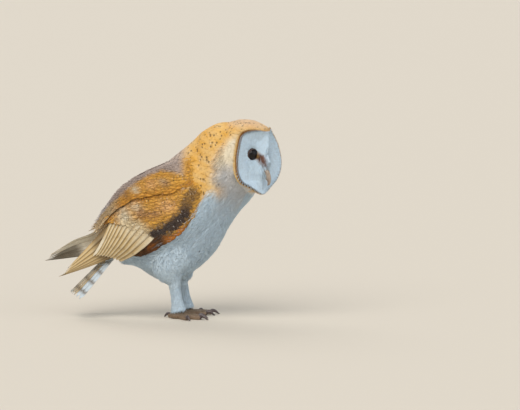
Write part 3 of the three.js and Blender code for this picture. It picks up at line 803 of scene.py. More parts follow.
def remeshed(points, faces):
    """One closed surface round several overlapping ones: its points, triangles and edges."""
    source = bpy.data.meshes.new("flesh")
    source.from_pydata(points.tolist(), [], faces.tolist())
    body = bpy.data.objects.new("flesh", source)
    bpy.context.scene.collection.objects.link(body)
    remesh = body.modifiers.new("remesh", "REMESH")
    remesh.mode = "VOXEL"
    remesh.voxel_size = VOXEL
    mesh = body.evaluated_get(bpy.context.evaluated_depsgraph_get()).to_mesh()
    mesh.calc_loop_triangles()
    made = np.empty(len(mesh.vertices) * 3)
    mesh.vertices.foreach_get("co", made)
    edges = np.empty(len(mesh.edges) * 2, np.int32)
    mesh.edges.foreach_get("vertices", edges)
    triangles = np.empty(len(mesh.loop_triangles) * 3, np.int32)
    mesh.loop_triangles.foreach_get("vertices", triangles)
    bpy.data.objects.remove(body)
    return largest(made.reshape(-1, 3), triangles.reshape(-1, 3), edges.reshape(-1, 2))


def smoothed(edges, values, times):
    """Values at points, each drawn halfway to its neighbours' mean so many times."""
    values = np.array(values, float)
    flat = values.reshape(len(values), -1)
    a, b = edges.T
    count = np.bincount(edges.ravel(), minlength=len(flat))[:, None]
    for _ in range(times):
        total = [
            np.bincount(a, flat[b, k], len(flat)) + np.bincount(b, flat[a, k], len(flat))
            for k in range(flat.shape[1])
        ]
        flat = flat + 0.5 * (np.stack(total, 1) / count - flat)
    return flat.reshape(values.shape)


rim_points = rim_curve(np.linspace(0, 1, 241)[:-1])
rim_turns = np.argsort(np.arctan2(rim_points[:, 0], rim_points[:, 1]))
rim_angles = np.arctan2(rim_points[rim_turns, 0], rim_points[rim_turns, 1])
rim_reach = np.hypot(rim_points[rim_turns, 0], rim_points[rim_turns, 1])
face_rows, face_around = 44, 240
face_share, face_turn = np.meshgrid(
    np.linspace(1, 0, face_rows), np.arange(face_around) / face_around, indexing="ij"
)
face_grid = face_point(face_turn, face_share).reshape(-1, 3)
face_faces = ring_faces(face_rows, face_around)
face_tree = BVHTree.FromPolygons(face_grid.tolist(), face_faces.tolist())


def across_face(h):
    """How far out to the rim a place of the head's frame lies: 1 on the rim."""
    x, y, _ = h.T
    return np.hypot(x, y) / np.interp(np.arctan2(x, y), rim_angles, rim_reach, period=2 * np.pi)


def on_face(h):
    """Places of the head's frame moved straight back or forth onto the face."""
    h = h.copy()
    for k, (x, y, _) in enumerate(h.tolist()):
        hit = face_tree.ray_cast((x, y, 90), (0, 0, -1))[0]
        if hit is not None:
            h[k, 2] = hit[2]
    return h


def from_eye(h):
    """How far a place of the head's frame lies off the nearer eye's axis, how far out, and the way off it."""
    p = np.column_stack([np.abs(h[:, 0]) - EYE_ACROSS, h[:, 1] - EYE_UP, h[:, 2] - EYE_OUT])
    out = p @ EYE_AXIS
    away = p - out[:, None] * EYE_AXIS
    away[:, 0] *= np.where(h[:, 0] < 0, -1, 1)
    return np.linalg.norm(away, axis=1), out, away


def sunk_to_lids(h):
    """Places of the face drawn back where they stand too far out beside an eye."""
    h = h.copy()
    for _ in range(4):
        off, out, away = from_eye(h)
        inwards = np.clip(-away[:, 0] * np.sign(h[:, 0]) / np.maximum(off, 1e-6), 0, 1)
        slope = mix(LID_SLOPE, RIDGE_SLOPE, inwards)
        limit = LID_HEIGHT + LID_RAISED + slope * np.maximum(off - LID_RADIUS, -1)
        h[:, 2] -= np.maximum(out - limit, 0)
    return h


def is_front(h):
    """Whether places of the head's frame are on the face itself, within its rim."""
    inside = (across_face(h) < FACE_EDGE) & (h[:, 2] > 12)
    inside[inside] = h[inside, 2] > on_face(h[inside])[:, 2] - 5
    return inside


def fit_face(points):
    """The skin under the face, drawn onto its true shape, with a socket behind each eye."""
    h = from_head(points)
    inside = is_front(h)
    face = sunk_to_lids(on_face(h[inside]))
    off, out, _ = from_eye(face)
    ball = np.sqrt(np.maximum(EYE_RADIUS**2 - off**2, 0)) - SOCKET
    face[:, 2] -= np.where(off < LID_RADIUS + 0.4, np.maximum(out - ball, FACE_COAT), FACE_COAT)
    points = points.copy()
    points[inside] = in_head(face)
    return points


def tail_flesh():
    """The flesh under the tail's coverts, as a tube."""
    shares = Curve([-0.3, 0.2, 0.6, 1])(np.linspace(0, 1, 9))[:, 0]
    sizes = Curve([(17, 11), (18.7, 8.8), (16.2, 5.5), (10.2, 1.5)])(np.linspace(0, 1, 9))
    turn = np.radians(np.arange(24) * 15)
    ring = np.stack([np.sin(turn), np.cos(turn)], 1)
    centre = TAIL_ROOT + TAIL_DOWN * (shares * 44)[:, None] - TAIL_UP * 5
    wide = ring[None, :, :1] * sizes[:, None, :1] * [0, 1, 0]
    tall = ring[None, :, 1:] * sizes[:, None, 1:] * TAIL_UP
    return tube(centre[:, None] + wide + tall)


def ringed(curves, shares, lift):
    """A closed tube round a sectioned form, whose lift differs along it and by degrees down."""
    t, turn = np.meshgrid(shares, np.arange(-180, 180, 7.5), indexing="ij")
    t, down = t.ravel(), np.abs(turn).ravel()
    side = np.where(turn.ravel() < 0, SIDES["right"], SIDES["left"])
    return tube(section_point(curves, t, down, side, lift(t, down)).reshape(*turn.shape, 3))


def flank_flesh(_, down):
    """The lift of the flesh that closes the gaps under the wings."""
    return -0.5 - 11 * smoothstep(down, 98, 140)


def shoulder_flesh(t, down):
    """The lift of the flesh that leads from the neck up onto the wings, and fills the nape."""
    shoulder = mix(3, 8, smoothstep(down, 8, 45)) * fade(down, 95, 140) * fade(t, 0.7, 0.92)
    return shoulder + 1.2 * smoothstep(t, 0.8, 0.95) * fade(down, 50, 90) - 0.5


def make_skin():
    """The flesh as one smooth surface, with what each of its points needs for its feathers."""
    parts = []
    for k, name in enumerate(FLESH):
        points, faces = node_mesh(name)
        parts.append((points + corner_normals(points, faces) * OVERLAP, faces, np.full(len(faces), k)))
    for (points, faces), k in (
        (tail_flesh(), OF_TRUNK[0]),
        (ringed(sheath_curves["right"], np.linspace(0.02, 0.6, 16), flank_flesh), OF_TRUNK[0]),
        (ringed(torso_curves, np.linspace(0.62, 0.97, 14), shoulder_flesh), OF_NECK[0]),
    ):
        parts.append((points, faces, np.full(len(faces), k)))
    solid_points, solid_faces, owners = joined(parts)
    points, faces, edges = remeshed(solid_points, solid_faces)
    tree = BVHTree.FromPolygons(solid_points.tolist(), solid_faces.tolist())
    owner = owners[[tree.find_nearest(p)[2] for p in points.tolist()]]
    sizes = np.array([FEATHERS[kind_of(name)] for name in FLESH], float)[owner]
    sizes = smoothed(edges, sizes, SIZE_ROUNDS)
    points = smoothed(edges, points, SKIN_ROUNDS)
    at_side = np.column_stack([points[:, 0], -np.abs(points[:, 1]), points[:, 2]])
    along, down, _ = place_on(sheath_curves["right"], at_side)
    shell = np.isin(owner, OF_SHELLS)
    low = points[:, 2] < read_line(WHITE_EDGE, points[:, 0])
    owner[shell & low] = OF_TRUNK[0]
    owner[shell & ~low & (along < SHOULDER_END)] = OF_NECK[0]
    eased = ((along < SHOULDER_END + 0.08) | (np.abs(down) < MANTLE_DOWN)) & (points[:, 2] > SHOULDER_LOW)
    eased |= low & (points[:, 0] > FLANK_REAR)
    eased = smoothed(edges, eased & ~np.isin(owner, OF_HEAD + OF_LEG), EASE_ROUNDS)[:, None]
    points = mix(points, smoothed(edges, points, STEP_ROUNDS), eased)
    points = points - corner_normals(points, faces) * sizes[:, 3:]
    points = fit_face(points)
    t, degrees, tailwards = place_on(torso_curves, points)
    paints, upper = body_paints(points, owner)
    h = from_head(points)
    front = is_front(h)
    paints[front] = disc_paints(h[front])
    shell = np.isin(owner, OF_SHELLS)
    paints[shell, :3] = flank_paints(paints[shell, :3], points[shell, 0], points[shell, 2])[0]
    backwards = smoothstep(-h[:, 2], -18, 24)[:, None]
    lie = np.where(np.isin(owner, OF_HEAD)[:, None], unit(-OUT + 2.6 * backwards * tailwards), tailwards)
    lie = np.where(np.isin(owner, OF_LEG)[:, None], unit(np.array([-0.12, 0, -1.0])), lie)
    lie = smoothed(edges, lie, LIE_ROUNDS)
    bed = Bed(points, faces, smoothed(edges, paints, 1))
    bed.owner, bed.sizes, bed.lie, bed.upper, bed.t, bed.degrees = owner, sizes, lie, upper, t, degrees
    return bed


def unwrapped(bed, chosen, points):
    """Where points lie on the skin's unwrap: the head by its turn and height, the rest by its length."""
    owner, h = bed.owner[chosen], from_head(points)
    round_head = [np.arctan2(h[:, 0], h[:, 2]) / (2 * np.pi) + 0.5, (h[:, 1] + 70) / 140]
    length = np.where(np.isin(owner, OF_LEG), points[:, 2] / 140, bed.t[chosen])
    below = [bed.degrees[chosen] / 360 + 0.5, length]
    place = np.where(np.isin(owner, OF_HEAD), round_head, below).T
    return 0.02 + 0.96 * np.clip(place, 0, 1)


# ---------------- coat of the head, body and legs
BODY_STATIONS = np.linspace(0, 1, 7)
BODY_WIDTH = np.array([0.4, 0.72, 0.93, 1, 0.95, 0.7, 0])
GOLD_SPOTS, WHITE_SPOTS = 0.15, 0.004  # share of the feathers that end in a spot
TIP_LIGHT = np.array([0.93, 0.94, 0.95, 0.97, 0.99, 1.02, 1.04])


def rooted(bed, chosen, spacing):
    """Some points of the skin thinned to a spacing, without those of the open face, and their places."""
    chosen = chosen[thinned(bed.points[chosen], spacing)]
    chosen = chosen[~is_front(from_head(bed.points[chosen]))]
    return chosen, bed.points[chosen]


def body_coat(bed, name, owners, spotted=True):
    """Feathers over the skin that comes from some solids."""
    chosen = np.flatnonzero(np.isin(bed.owner, owners))
    chosen, roots = rooted(bed, chosen, bed.sizes[chosen, 2])
    length, half, _, depth = bed.sizes[chosen].T
    n = len(roots)
    length = length * rng.uniform(0.85, 1.15, n)
    lie = unit(bed.lie[chosen]) + 0.05 * rng.standard_normal((n, 3))
    on, up, paints = bed.stations(roots, lie, length, BODY_STATIONS)
    wide = half[:, None] * BODY_WIDTH * (1 + 0.08 * rng.standard_normal((n, BODY_STATIONS.size)))
    lift = depth[:, None] * (0.12 + 0.36 * BODY_STATIONS**0.8) * rng.uniform(0.97, 1.03, (n, 1)) + 0.15
    paints = varied(paints, 0.03)
    paints[..., :3] *= TIP_LIGHT[:, None]
    chance = np.where(bed.upper[chosen] > 0.6, GOLD_SPOTS + 0.3 * bed.paints[chosen, 3], WHITE_SPOTS)
    spots = rng.random(n) < chance if spotted else None
    bake = unwrapped(bed, chosen, roots)
    part = vanes(on, up, wide, lift, paints, bake, (-1, -0.55, 0, 0.55, 1), spots=spots)
    return add_coat(name, [part])


def down_coat(bed, name, owners, spacing, length, half, rise):
    """Fine locks over the white feathers of some solids, which soften them."""
    chosen = np.flatnonzero(np.isin(bed.owner, owners) & (bed.upper < 0.5))
    chosen, roots = rooted(bed, chosen, np.full(len(chosen), spacing))
    n = len(roots)
    normal = bed.normals[chosen]
    lie = unit(bed.lie[chosen]) + 0.16 * rng.standard_normal((n, 3))
    lie = flattened(lie, normal)
    depth = bed.sizes[chosen, 3]
    roots = roots + normal * (0.55 * depth)[:, None]
    paints = varied(bed.paints[chosen], 0.04)
    bake = unwrapped(bed, chosen, roots)
    part = locks(roots, lie, normal, length * rng.uniform(0.7, 1.25, n), np.full(n, half), rise, paints, bake)
    return add_coat(name, [part], SILK)


skin = make_skin()
skin_piece = add_piece("skin", skin.points, skin.faces, PLUMAGE, skin.paints)
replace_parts(skin_piece, *FLESH)
body_coat(skin, "coat_head", OF_HEAD)
body_coat(skin, "coat_neck", OF_NECK)
body_coat(skin, "coat_trunk", OF_TRUNK)
body_coat(skin, "coat_legs", OF_LEG, spotted=False)
down_coat(skin, "down_body", OF_NECK + OF_TRUNK, 2.0, 8.0, 0.42, 0.22)
down_coat(skin, "down_legs", OF_LEG, 1.7, 5.0, 0.3, 0.3)


# ---------------- face
FACE_REACH = 60  # more than the face's reach from its middle


def face_bake(h):
    """Where feathers of the face lie in the bake."""
    return BAKE_LOW + BAKE_SPAN * (h[:, :2] + FACE_REACH) / (2 * FACE_REACH)


def spread_over_face(spacing, low, high):
    """Places of the face a spacing apart, between two shares of the way out to the rim."""
    x, y = np.meshgrid(np.arange(-56, 56, spacing * 0.6), np.arange(-56, 50, spacing * 0.6))
    h = np.column_stack([x.ravel(), y.ravel(), np.zeros(x.size)])
    h[:, :2] += rng.uniform(-0.5, 0.5, (len(h), 2)) * spacing * 0.6
    out = across_face(h)
    h = h[(out > low) & (out < high)]
    h = h[thinned(h, np.full(len(h), spacing))]
    return on_face(h)


FACE_STATIONS = np.linspace(0, 1, 5)
FACE_WIDTH = np.array([0.6, 1, 0.95, 0.6, 0])


def face_coat():
    """Fine silky vanes that radiate from each eye to the rim, and run down the ridge to the bill."""
    h = sunk_to_lids(spread_over_face(1.3, 0, 0.96))
    off, _, away = from_eye(h)
    keep = off > LID_RADIUS + 0.1
    h, off, away = h[keep], off[keep], away[keep]
    side = np.where(h[:, 0] < 0, -1, 1)
    ridge = (np.exp(-((h[:, 0] / 4.5) ** 2)) * smoothstep(-h[:, 1], -40, -20))[:, None]
    downwards = np.column_stack([0.1 * side, np.full(len(h), -1.0), np.full(len(h), 0.15)])
    lie = unit(unit(away) * (1 - ridge) + 1.6 * downwards * ridge)
    lie = unit(lie + 0.05 * rng.standard_normal(lie.shape)) @ HEAD_AXES
    length = np.clip(1.6 + 0.45 * (off - LID_RADIUS), 2.2, 9) * rng.uniform(0.85, 1.15, len(h))
    sunk = sunk_to_lids(face_grid)
    face_bed = Bed(in_head(sunk) - 0.5 * OUT, face_faces, disc_paints(sunk))
    on, up, paints = face_bed.stations(in_head(h), lie, length, FACE_STATIONS)
    half = np.full((len(h), 1), 0.7) * FACE_WIDTH * rng.uniform(0.8, 1.25, (len(h), 1))
    lift = 0.1 + 0.5 * FACE_STATIONS * rng.uniform(0.7, 1.3, (len(h), 1))
    part = vanes(on, up, half, lift, varied(paints, 0.03), face_bake(h), thick=0.16)
    add_coat("coat_face", [part], SILK)


BRISTLES, BRISTLES_OUT = 620, 6.5  # how many, and how far to each side of the ridge they root


def bristles():
    """Stiff fine feathers that run from the ridge between the eyes down over the bill's base and sides."""
    n = BRISTLES
    x = rng.uniform(-BRISTLES_OUT, BRISTLES_OUT, n)
    y = rng.uniform(-23, 4, n)
    h = on_face(np.column_stack([x, y, np.zeros(n)]))
    beside = np.abs(x) / BRISTLES_OUT
    lie = np.column_stack([-0.02 * x, np.full(n, -0.93), 0.42 - 0.12 * beside])
    lie = unit(lie + 0.05 * rng.standard_normal((n, 3)))
    normal = unit(np.column_stack([0.5 * np.sign(x) * beside, np.full(n, 0.3), np.ones(n)]))
    normal = flattened(normal, lie)
    length = rng.uniform(10, 15, n) * mix(0.85, 1, smoothstep(y, -22, -8))
    paints = varied(disc_paints(h - [0, 6, 0]), 0.05)
    lie, normal = lie @ HEAD_AXES, normal @ HEAD_AXES
    part = locks(in_head(h), lie, normal, length, np.full(n, 0.5), 0.08, paints, face_bake(h))
    add_coat("bristles", [part], SILK)


RUFF_ROWS = [  # share of the way to the rim, how far it stands forwards, length, colour in front and behind
    (0.9, 0.4, 4.6, DISC_WHITE, PALE_GOLD), (0.955, 1.3, 4.4, DISC_WHITE, RUFF),
    (0.985, 0.8, 3.8, LILAC, RUFF), (1.01, 0.1, 4.2, RUFF, RUFF), (1.035, -0.5, 5.0, PALE_GOLD, CREAM),
]
RUFF_COUNT = 300
RUFF_WIDTH = 0.8 * np.array([0.7, 1, 1, 0.7, 0])
RUFF_DASHED = range(1, 4)  # the rows with dark and white dashes low on the disc


def ruff():
    """The dense short feathers that stand up round the disc, row behind row."""
    parts = []
    along = np.linspace(0, 1, RUFF_WIDTH.size)
    order = np.arange(RUFF_COUNT)
    for row, (share, forwards, length, front, back) in enumerate(RUFF_ROWS):
        turn = (order + 0.5 * (row % 2) + rng.uniform(-0.2, 0.2, RUFF_COUNT)) / RUFF_COUNT
        root = face_point(turn, np.full(RUFF_COUNT, share - 0.03))
        away = np.mean([face_point(turn + d, 1.0) for d in (-0.05, -0.025, 0, 0.025, 0.05)], axis=0)
        away = unit(away * [1, 1, 0])
        lie = unit(away + np.array([0, 0, forwards])) @ HEAD_AXES
        notch = bell((turn + 0.5) % 1, 0.5, 0.06)
        reach = (length * rng.uniform(0.9, 1.1, RUFF_COUNT) * (1 - 0.75 * notch))[:, None] * along
        on = in_head(root)[:, None] - OUT * 0.8 + lie[:, None] * reach[..., None]
        on = on - OUT * (0.35 * along**2)[:, None] * length / 4
        up = unit(-away @ HEAD_AXES + 0.75 * OUT)
        up = np.broadcast_to(flattened(up, lie)[:, None], on.shape)
        low = np.exp(-((np.abs(np.abs(turn - 0.5) - 0.11) / 0.09) ** 4))
        dash = np.where((order // 3 + row) % 2 == 0, 0.9, 0)[:, None] * low[:, None]
        tone = blend(plain(back, turn), RUFF_DARK, 0.9 * low * (row in RUFF_DASHED))
        tone = tone + (WHITE - tone) * dash * (row in RUFF_DASHED)
        flat = np.zeros(on.shape[:2])
        behind = tone[:, None] + flat[..., None]
        shown = (0, 0.5 * low[:, None], 0.6, 1, 0)[row] * smoothstep(along, 0.2, 0.7) + flat
        paints = front + (behind - front) * shown[..., None]
        behind, paints = (np.dstack([colour, flat + 0.1]) for colour in (behind, paints))
        bake = np.column_stack([BAKE_LOW + BAKE_SPAN * turn, np.full(RUFF_COUNT, 0.1 + 0.18 * row)])
        paints = varied(paints, 0.05)
        behind = varied(behind, 0.08)
        half = RUFF_WIDTH + flat
        parts.append(vanes(on, up, half, flat, paints, bake, beneath=(0.5, -0.5), thick=0.25, behind=behind))
    add_coat("ruff", parts)


def eye_axes(name):
    """The axes that an eye is turned about, the last one out along its gaze."""
    out = EYE_AXIS * [SIDES[name], 1, 1]
    up = np.array([0, 1.0, 0])
    return np.array([np.cross(up, out), up, out]) @ HEAD_AXES


def revolved(profile, name, around=64):
    """A closed ring: a profile of (degrees off an eye's axis, radius) turned about that axis."""
    angle, radius = np.radians(profile[:, 0]), profile[:, 1]
    turn = 2 * np.pi * np.arange(around) / around
    off, out = radius * np.sin(angle), radius * np.cos(angle) + 0 * turn[:, None]
    points = np.stack([off * np.cos(turn)[:, None], off * np.sin(turn)[:, None], out], -1)
    points = points.reshape(-1, 3) @ eye_axes(name) + EYES[name]
    return outward(points, ring_faces(around + 1, len(profile)) % len(points))


def eyeball(name):
    """A glossy eyeball, near black, a little bulged at its pupil."""
    turn, down = np.meshgrid(np.arange(48) / 48 * 2 * np.pi, np.radians(np.linspace(2, 178, 40)))
    ring = np.stack([np.sin(down) * np.cos(turn), np.sin(down) * np.sin(turn), np.cos(down)], -1)
    bulge = 1 + 0.03 * np.exp(-((down / math.radians(35)) ** 2))[..., None]
    points, faces = tube(EYE_RADIUS * (ring * bulge) @ eye_axes(name) + EYES[name])
    piece = add_piece(f"eyeball_{name}", points, faces, EYE)
    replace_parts(piece, f"eye_{name}")


def eyelids(name):
    """The lids: a thin dark margin, and pinkish skin that goes under the feathers round it."""
    rim = math.degrees(math.asin(LID_RADIUS / (EYE_RADIUS + LID_RAISED)))
    profile = np.array([
        (rim, EYE_RADIUS + 0.1), (rim - 1, EYE_RADIUS + 0.35), (rim + 1, EYE_RADIUS + 0.6),
        (rim + 5, EYE_RADIUS + 0.6), (rim + 14, EYE_RADIUS + 0.3), (rim + 30, EYE_RADIUS - 0.3),
        (rim + 30, EYE_RADIUS - 1.0), (rim + 6, EYE_RADIUS - 0.3),
    ])
    points, faces = revolved(profile, name)
    share = smoothstep(from_eye(from_head(points))[0], LID_RADIUS + 0.1, LID_RADIUS + 0.9)
    colour = blend(plain(paint(40, 30, 28), points), paint(84, 64, 56), share)
    add_piece(f"eyelid_{name}", points, faces, LID, np.column_stack([colour, share * 0]))


def limb(path, sizes, side, along, around, swell=None):
    """A tube along a path. Each size is its half across the side and half across its height."""
    share = np.linspace(0, 1, along + 1)
    centre, size = Curve(path)(share), Curve(sizes)(share)
    ahead = unit(np.gradient(centre, axis=0))
    high = unit(np.cross(ahead, side))
    turn = 2 * np.pi * np.arange(around) / around
    wide = size[:, None, :1] * np.sin(turn)[None, :, None]
    tall = size[:, None, 1:] * np.cos(turn)[None, :, None]
    if swell is not None:
        factor = swell(share[:, None], turn[None])[..., None]
        wide, tall = wide * factor, tall * factor
    return tube(centre[:, None] + side * wide + high[:, None] * tall)


def keel(_, turn):
    """The bill's swell: a ridge along its top."""
    return 1 + 0.1 * np.cos(turn) ** 8 - 0.06 * np.abs(np.sin(2 * turn))


def bill():
    """The hooked upper bill and the lower one under it."""
    for name, path, sizes in (
        ("bill_upper", BILL_PATH, BILL_SIZE), ("bill_lower", LOWER_BILL_PATH, LOWER_BILL_SIZE)
    ):
        points, faces = limb(in_head(path), sizes, -LEFT, 40, 32, keel)
        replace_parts(add_piece(f"{name}_horn", points, faces, BILL), name)


# ---------------- wings
def tract_place(tract, share, down):
    """A tract's place on the sheath: share from front to rear, down from its upper to its lower edge."""
    t = mix(within(tract["front"], down), within(tract["rear"], down), share)
    degrees = mix(within(tract["upper"], share), within(tract["lower"], share), down)
    return t, degrees


def coverts_lift(share, down):
    """How far the coverts stand off the sheath: full in front, and low at the rear corner."""
    low = smoothstep(down, 0.62, 0.85) * smoothstep(share, 0.55, 0.9)
    return 0.9 + 1.2 * np.sin(np.pi * np.clip(down, 0, 1)) * np.clip(1 - share, 0, 1) - 2.2 * low


def scapulars_lift(share, down):
    """How far the scapulars stand off the sheath: fullest halfway down."""
    return 3.4 + 3.2 * np.sin(np.pi * mix(0.25, 0.9, np.clip(down, 0, 1))) * (1 - 0.5 * share)


# lines on the wing seen from the side, and where the mantle ends: share along it, and degrees down
SLATE_LINE = [(12, 186), (4, 174), (0, 156), (-18, 140), (-32, 131), (-42, 128)]
PURPLE_LINE = [(-66, 158), (-52, 157), (-40, 158)]
MANTLE_EDGE = [(0.1, 64), (0.16, 51), (0.25, 30), (0.33, 27), (0.43, 29), (0.52, 33), (0.63, 25)]


def coverts_paints(x, z, share, down, *_):
    """Gold with a cream and a peach patch, slate along the lower front edge and orange below it."""
    # painted shade: the coverts darken to deep gold along their top, under the overhanging scapulars
    colour = blend(plain(GOLD, x), DEEP_GOLD, 0.7 * smoothstep(-down, -0.2, -0.02))
    colour = blend(colour, PEACH, 0.85 * blob(x, z, (-24, 168), (13, 9)))
    cream = np.maximum(blob(x, z, (-86, 150), (10, 15)), 0.6 * blob(x, z, (-70, 166), (10, 7)))
    colour = blend(colour, CREAM, np.minimum(0.95, 1.1 * cream))
    tan = smoothstep(share, 0.8, 0.97) * smoothstep(down, 0.2, 0.45)
    colour = blend(colour, PALE_TAN, 0.85 * tan)
    purple = 0.5 * bell(off_line(x, z, PURPLE_LINE), 0, 6)
    wobble = 1.6 * np.sin(x * 0.7) * np.sin(z * 0.6)
    slate = fade(off_line(x, z, SLATE_LINE) + wobble, 5, 13) * mix(1, 0.62, smoothstep(z, 158, 178))
    colour = blend(colour, paint(150, 110, 96), purple)
    colour = blend(colour, SLATE, slate)
    colour, under = flank_paints(colour, x, z)
    # painted shadow: the gap under the scapulars' tips, at the tract's upper rear, is darkened
    scapular_shadow = smoothstep(-down, -0.1, 0) * smoothstep(share, 0.55, 0.75)
    colour = blend(colour, SHADOW, 0.8 * np.maximum(scapular_shadow, blob(x, z, (-96, 168), (7, 7))))
    pepper = (0.06 + 0.5 * slate + 0.4 * purple + 0.1 * tan) * (1 - under)
    chance = (0.2 + 0.25 * slate + 0.3 * purple - 0.12 * cream) * (1 - under)
    return np.column_stack([colour, pepper]), chance


def scapulars_paints(x, z, share, down, t, degrees):
    """Gold below, with pale patches, and the mottled grey mantle above."""
    gold = np.maximum(smoothstep(degrees - read_line(MANTLE_EDGE, t), -5, 3), smoothstep(x, -9, 5))
    rich = blend(plain(GOLD, x), PEACH, 0.7 * blob(x, z, (-47, 198), (9, 7)))
    cream = np.maximum(blob(x, z, (-70, 190), (6, 5)), 0.5 * blob(x, z, (-30, 203), (7, 4)))
    rich = blend(rich, CREAM, 0.85 * cream)
    rich = blend(rich, DEEP_GOLD, 0.6 * smoothstep(down, 0.8, 1.0))
    purple = blob(x, z, (-27, 200), (7, 5)) + blob(x, z, (-84, 182), (5, 5))
    rich = blend(rich, paint(140, 104, 92), 0.5 * np.minimum(purple, 1))
    colour = blend(plain(VEIL, x), rich, 0.1 + 0.9 * gold)
    colour = blend(colour, LILAC, 0.5 * smoothstep(share, 0.75, 1.0) * (1 - gold))
    colour = blend(colour, paint(200, 180, 146), 0.85 * smoothstep(-x, 88, 106) * gold)
    chance = 0.18 + 0.02 * (1 - gold) + 0.3 * np.minimum(purple, 1)
    return np.column_stack([colour, 0.8 - 0.74 * gold]), chance


# form, lift, colours, rows, feathers across, first of them, reach in rows, pointing and loose edge
TRACTS = {
    "scapulars": (SCAPULARS, scapulars_lift, scapulars_paints, 34, 13, -3, 3.6, 0.7, 0.25),
    "coverts": (COVERTS, coverts_lift, coverts_paints, 28, 16, 0, 3.8, 0, 0),
}
ROW_CROWD, ROW_START = 1.12, -0.03  # how rows draw together in front, and where they start
FEATHER_WIDE = 0.86  # half width, in shares of a tract's height for each feather across
FEATHER_TURN = 0.11  # radians that a feather strays
OFF_SKIN = 1.4  # how far off the skin a tract's feathers lie where it leaves it
TRACT_COLUMNS = (-1, -0.6, 0, 0.6, 1)
TRACT_STATIONS = np.linspace(0, 1, 8)
TRACT_WIDTH = np.array([0.45, 0.75, 0.93, 1, 1, 0.92, 0.66, 0])


def between(values, pick, share):
    """Values of (feathers, stations) at shares of some feathers' length."""
    at = share * (values.shape[1] - 1)
    k = np.minimum(at.astype(int), values.shape[1] - 2)
    w = (at - k).reshape((-1,) + (1,) * (values.ndim - 2))
    return mix(values[pick, k], values[pick, k + 1], w)


BARBS_EACH = 7


def barbs(on, up, half, lift, paints, bake):
    """Fine soft locks that lie along feathers and hide their edges."""
    pick = np.repeat(np.arange(len(on)), BARBS_EACH)
    share = rng.uniform(0.3, 0.9, len(pick))
    normal = unit(between(up, pick, share))
    along = unit(between(np.gradient(on, axis=1), pick, share))
    aside = between(half, pick, share) * rng.uniform(-0.9, 0.9, len(pick))
    root = between(on, pick, share) + np.cross(normal, along) * aside[:, None]
    root = root + normal * (between(lift, pick, share) - 0.1)[:, None]
    lie = unit(along + 0.12 * rng.standard_normal(along.shape))
    lie = flattened(lie, normal)
    length = rng.uniform(3.5, 6, len(pick))
    tone = varied(between(paints, pick, share), 0.05)
    return locks(root, lie, normal, length, np.full(len(pick), 0.3), 0.06, tone, bake[pick])


def tract_coat(name, kind):
    """Rows of overlapping feathers on a tract of the sheath. The last ones may be longer and pointed.

    The tract leaves the skin at its front, and round the share down of its loose edge."""
    tract, raised, colours, rows, across, first, reach, pointing, edge = TRACTS[kind]
    side = SIDES[name]
    i, j = (a.ravel() for a in np.meshgrid(np.arange(rows), np.arange(first, across), indexing="ij"))
    share = np.maximum(0, (i + rng.uniform(-0.45, 0.45, i.size)) / (rows - 1)) ** ROW_CROWD + ROW_START
    down = (j + 0.25 + 0.5 * (i % 2) + rng.uniform(-0.3, 0.3, i.size)) / across

    def place(share, down, more=0.0):
        """Places on the tract, standing off it by so much more."""
        t, degrees = tract_place(tract, share, down)
        lift = raised(share, down) + more
        return section_point(sheath_curves[name], np.clip(t, 0, 1), np.maximum(degrees, 0), side, lift)

    root = place(share, down)
    tip = place(share + 0.8 * reach / rows, down)
    keep = np.minimum(root[:, 2], tip[:, 2] + 1) > read_line(WHITE_EDGE, tip[:, 0])
    share, down, root = share[keep], down[keep], root[keep]
    step = 0.02
    per_share = np.linalg.norm(place(share + step, down) - root, axis=1) / step
    per_down = np.linalg.norm(place(share, down + step) - root, axis=1) / step
    n = len(share)
    pointed = pointing * smoothstep(share, 0.78, 0.95) * (rng.random(n) < 0.5)
    length = reach * per_share.mean() / rows * rng.uniform(0.9, 1.12, n)
    length *= mix(0.75, 1.1, np.clip(share, 0, 1)) * (1 + pointed)
    turn = FEATHER_TURN * rng.standard_normal(n)
    ahead = (length * np.cos(turn) / per_share)[:, None] * TRACT_STATIONS
    aside = (length * np.sin(turn) / np.maximum(per_down, 20))[:, None] * TRACT_STATIONS
    s, d = share[:, None] + ahead, down[:, None] + aside
    on = place(s, d, -0.2)
    up = unit(place(s, d, 1.0) - on)
    under, normal, _ = skin.under(on)
    free = (smoothstep(s, 0.05, 0.25) * smoothstep(d, edge - 0.3, edge + 0.12))[..., None]
    on = mix(under + normal * OFF_SKIN, on, free)
    up = unit(mix(normal, up, free))
    half = (FEATHER_WIDE * np.maximum(per_down, 0.5 * per_down.mean()) / across)[:, None] * TRACT_WIDTH
    half = half * (1 + 0.05 * rng.standard_normal(half.shape)) * (1 - 0.6 * pointed[:, None] * TRACT_STATIONS)
    lift = mix(-0.8, 0.1, TRACT_STATIONS**0.7) + 0.04 * rng.standard_normal((n, 1))
    t, degrees = tract_place(tract, s.ravel(), d.ravel())
    x, _, z = on.reshape(-1, 3).T
    paints, chance = colours(x, z, s.ravel(), d.ravel(), t, degrees)
    paints = varied(paints.reshape(*half.shape, 4), 0.025)
    paints[..., :3] *= np.interp(TRACT_STATIONS, [0, 0.5, 1], [0.93, 0.97, 1.02])[:, None]
    spots = rng.random(n) < chance.reshape(half.shape)[:, -2]
    bake = BAKE_LOW + BAKE_SPAN * np.clip(np.column_stack([share, down]), 0, 1)
    feathers = vanes(
        on, up, half, lift, paints, bake, TRACT_COLUMNS, thick=0.1, camber=0.02, tilt=0.05, spots=spots)
    add_coat(f"coat_{kind}_{name}", [feathers])
    add_coat(f"barbs_{kind}_{name}", [barbs(on, up, half, lift, paints, bake)], SILK)


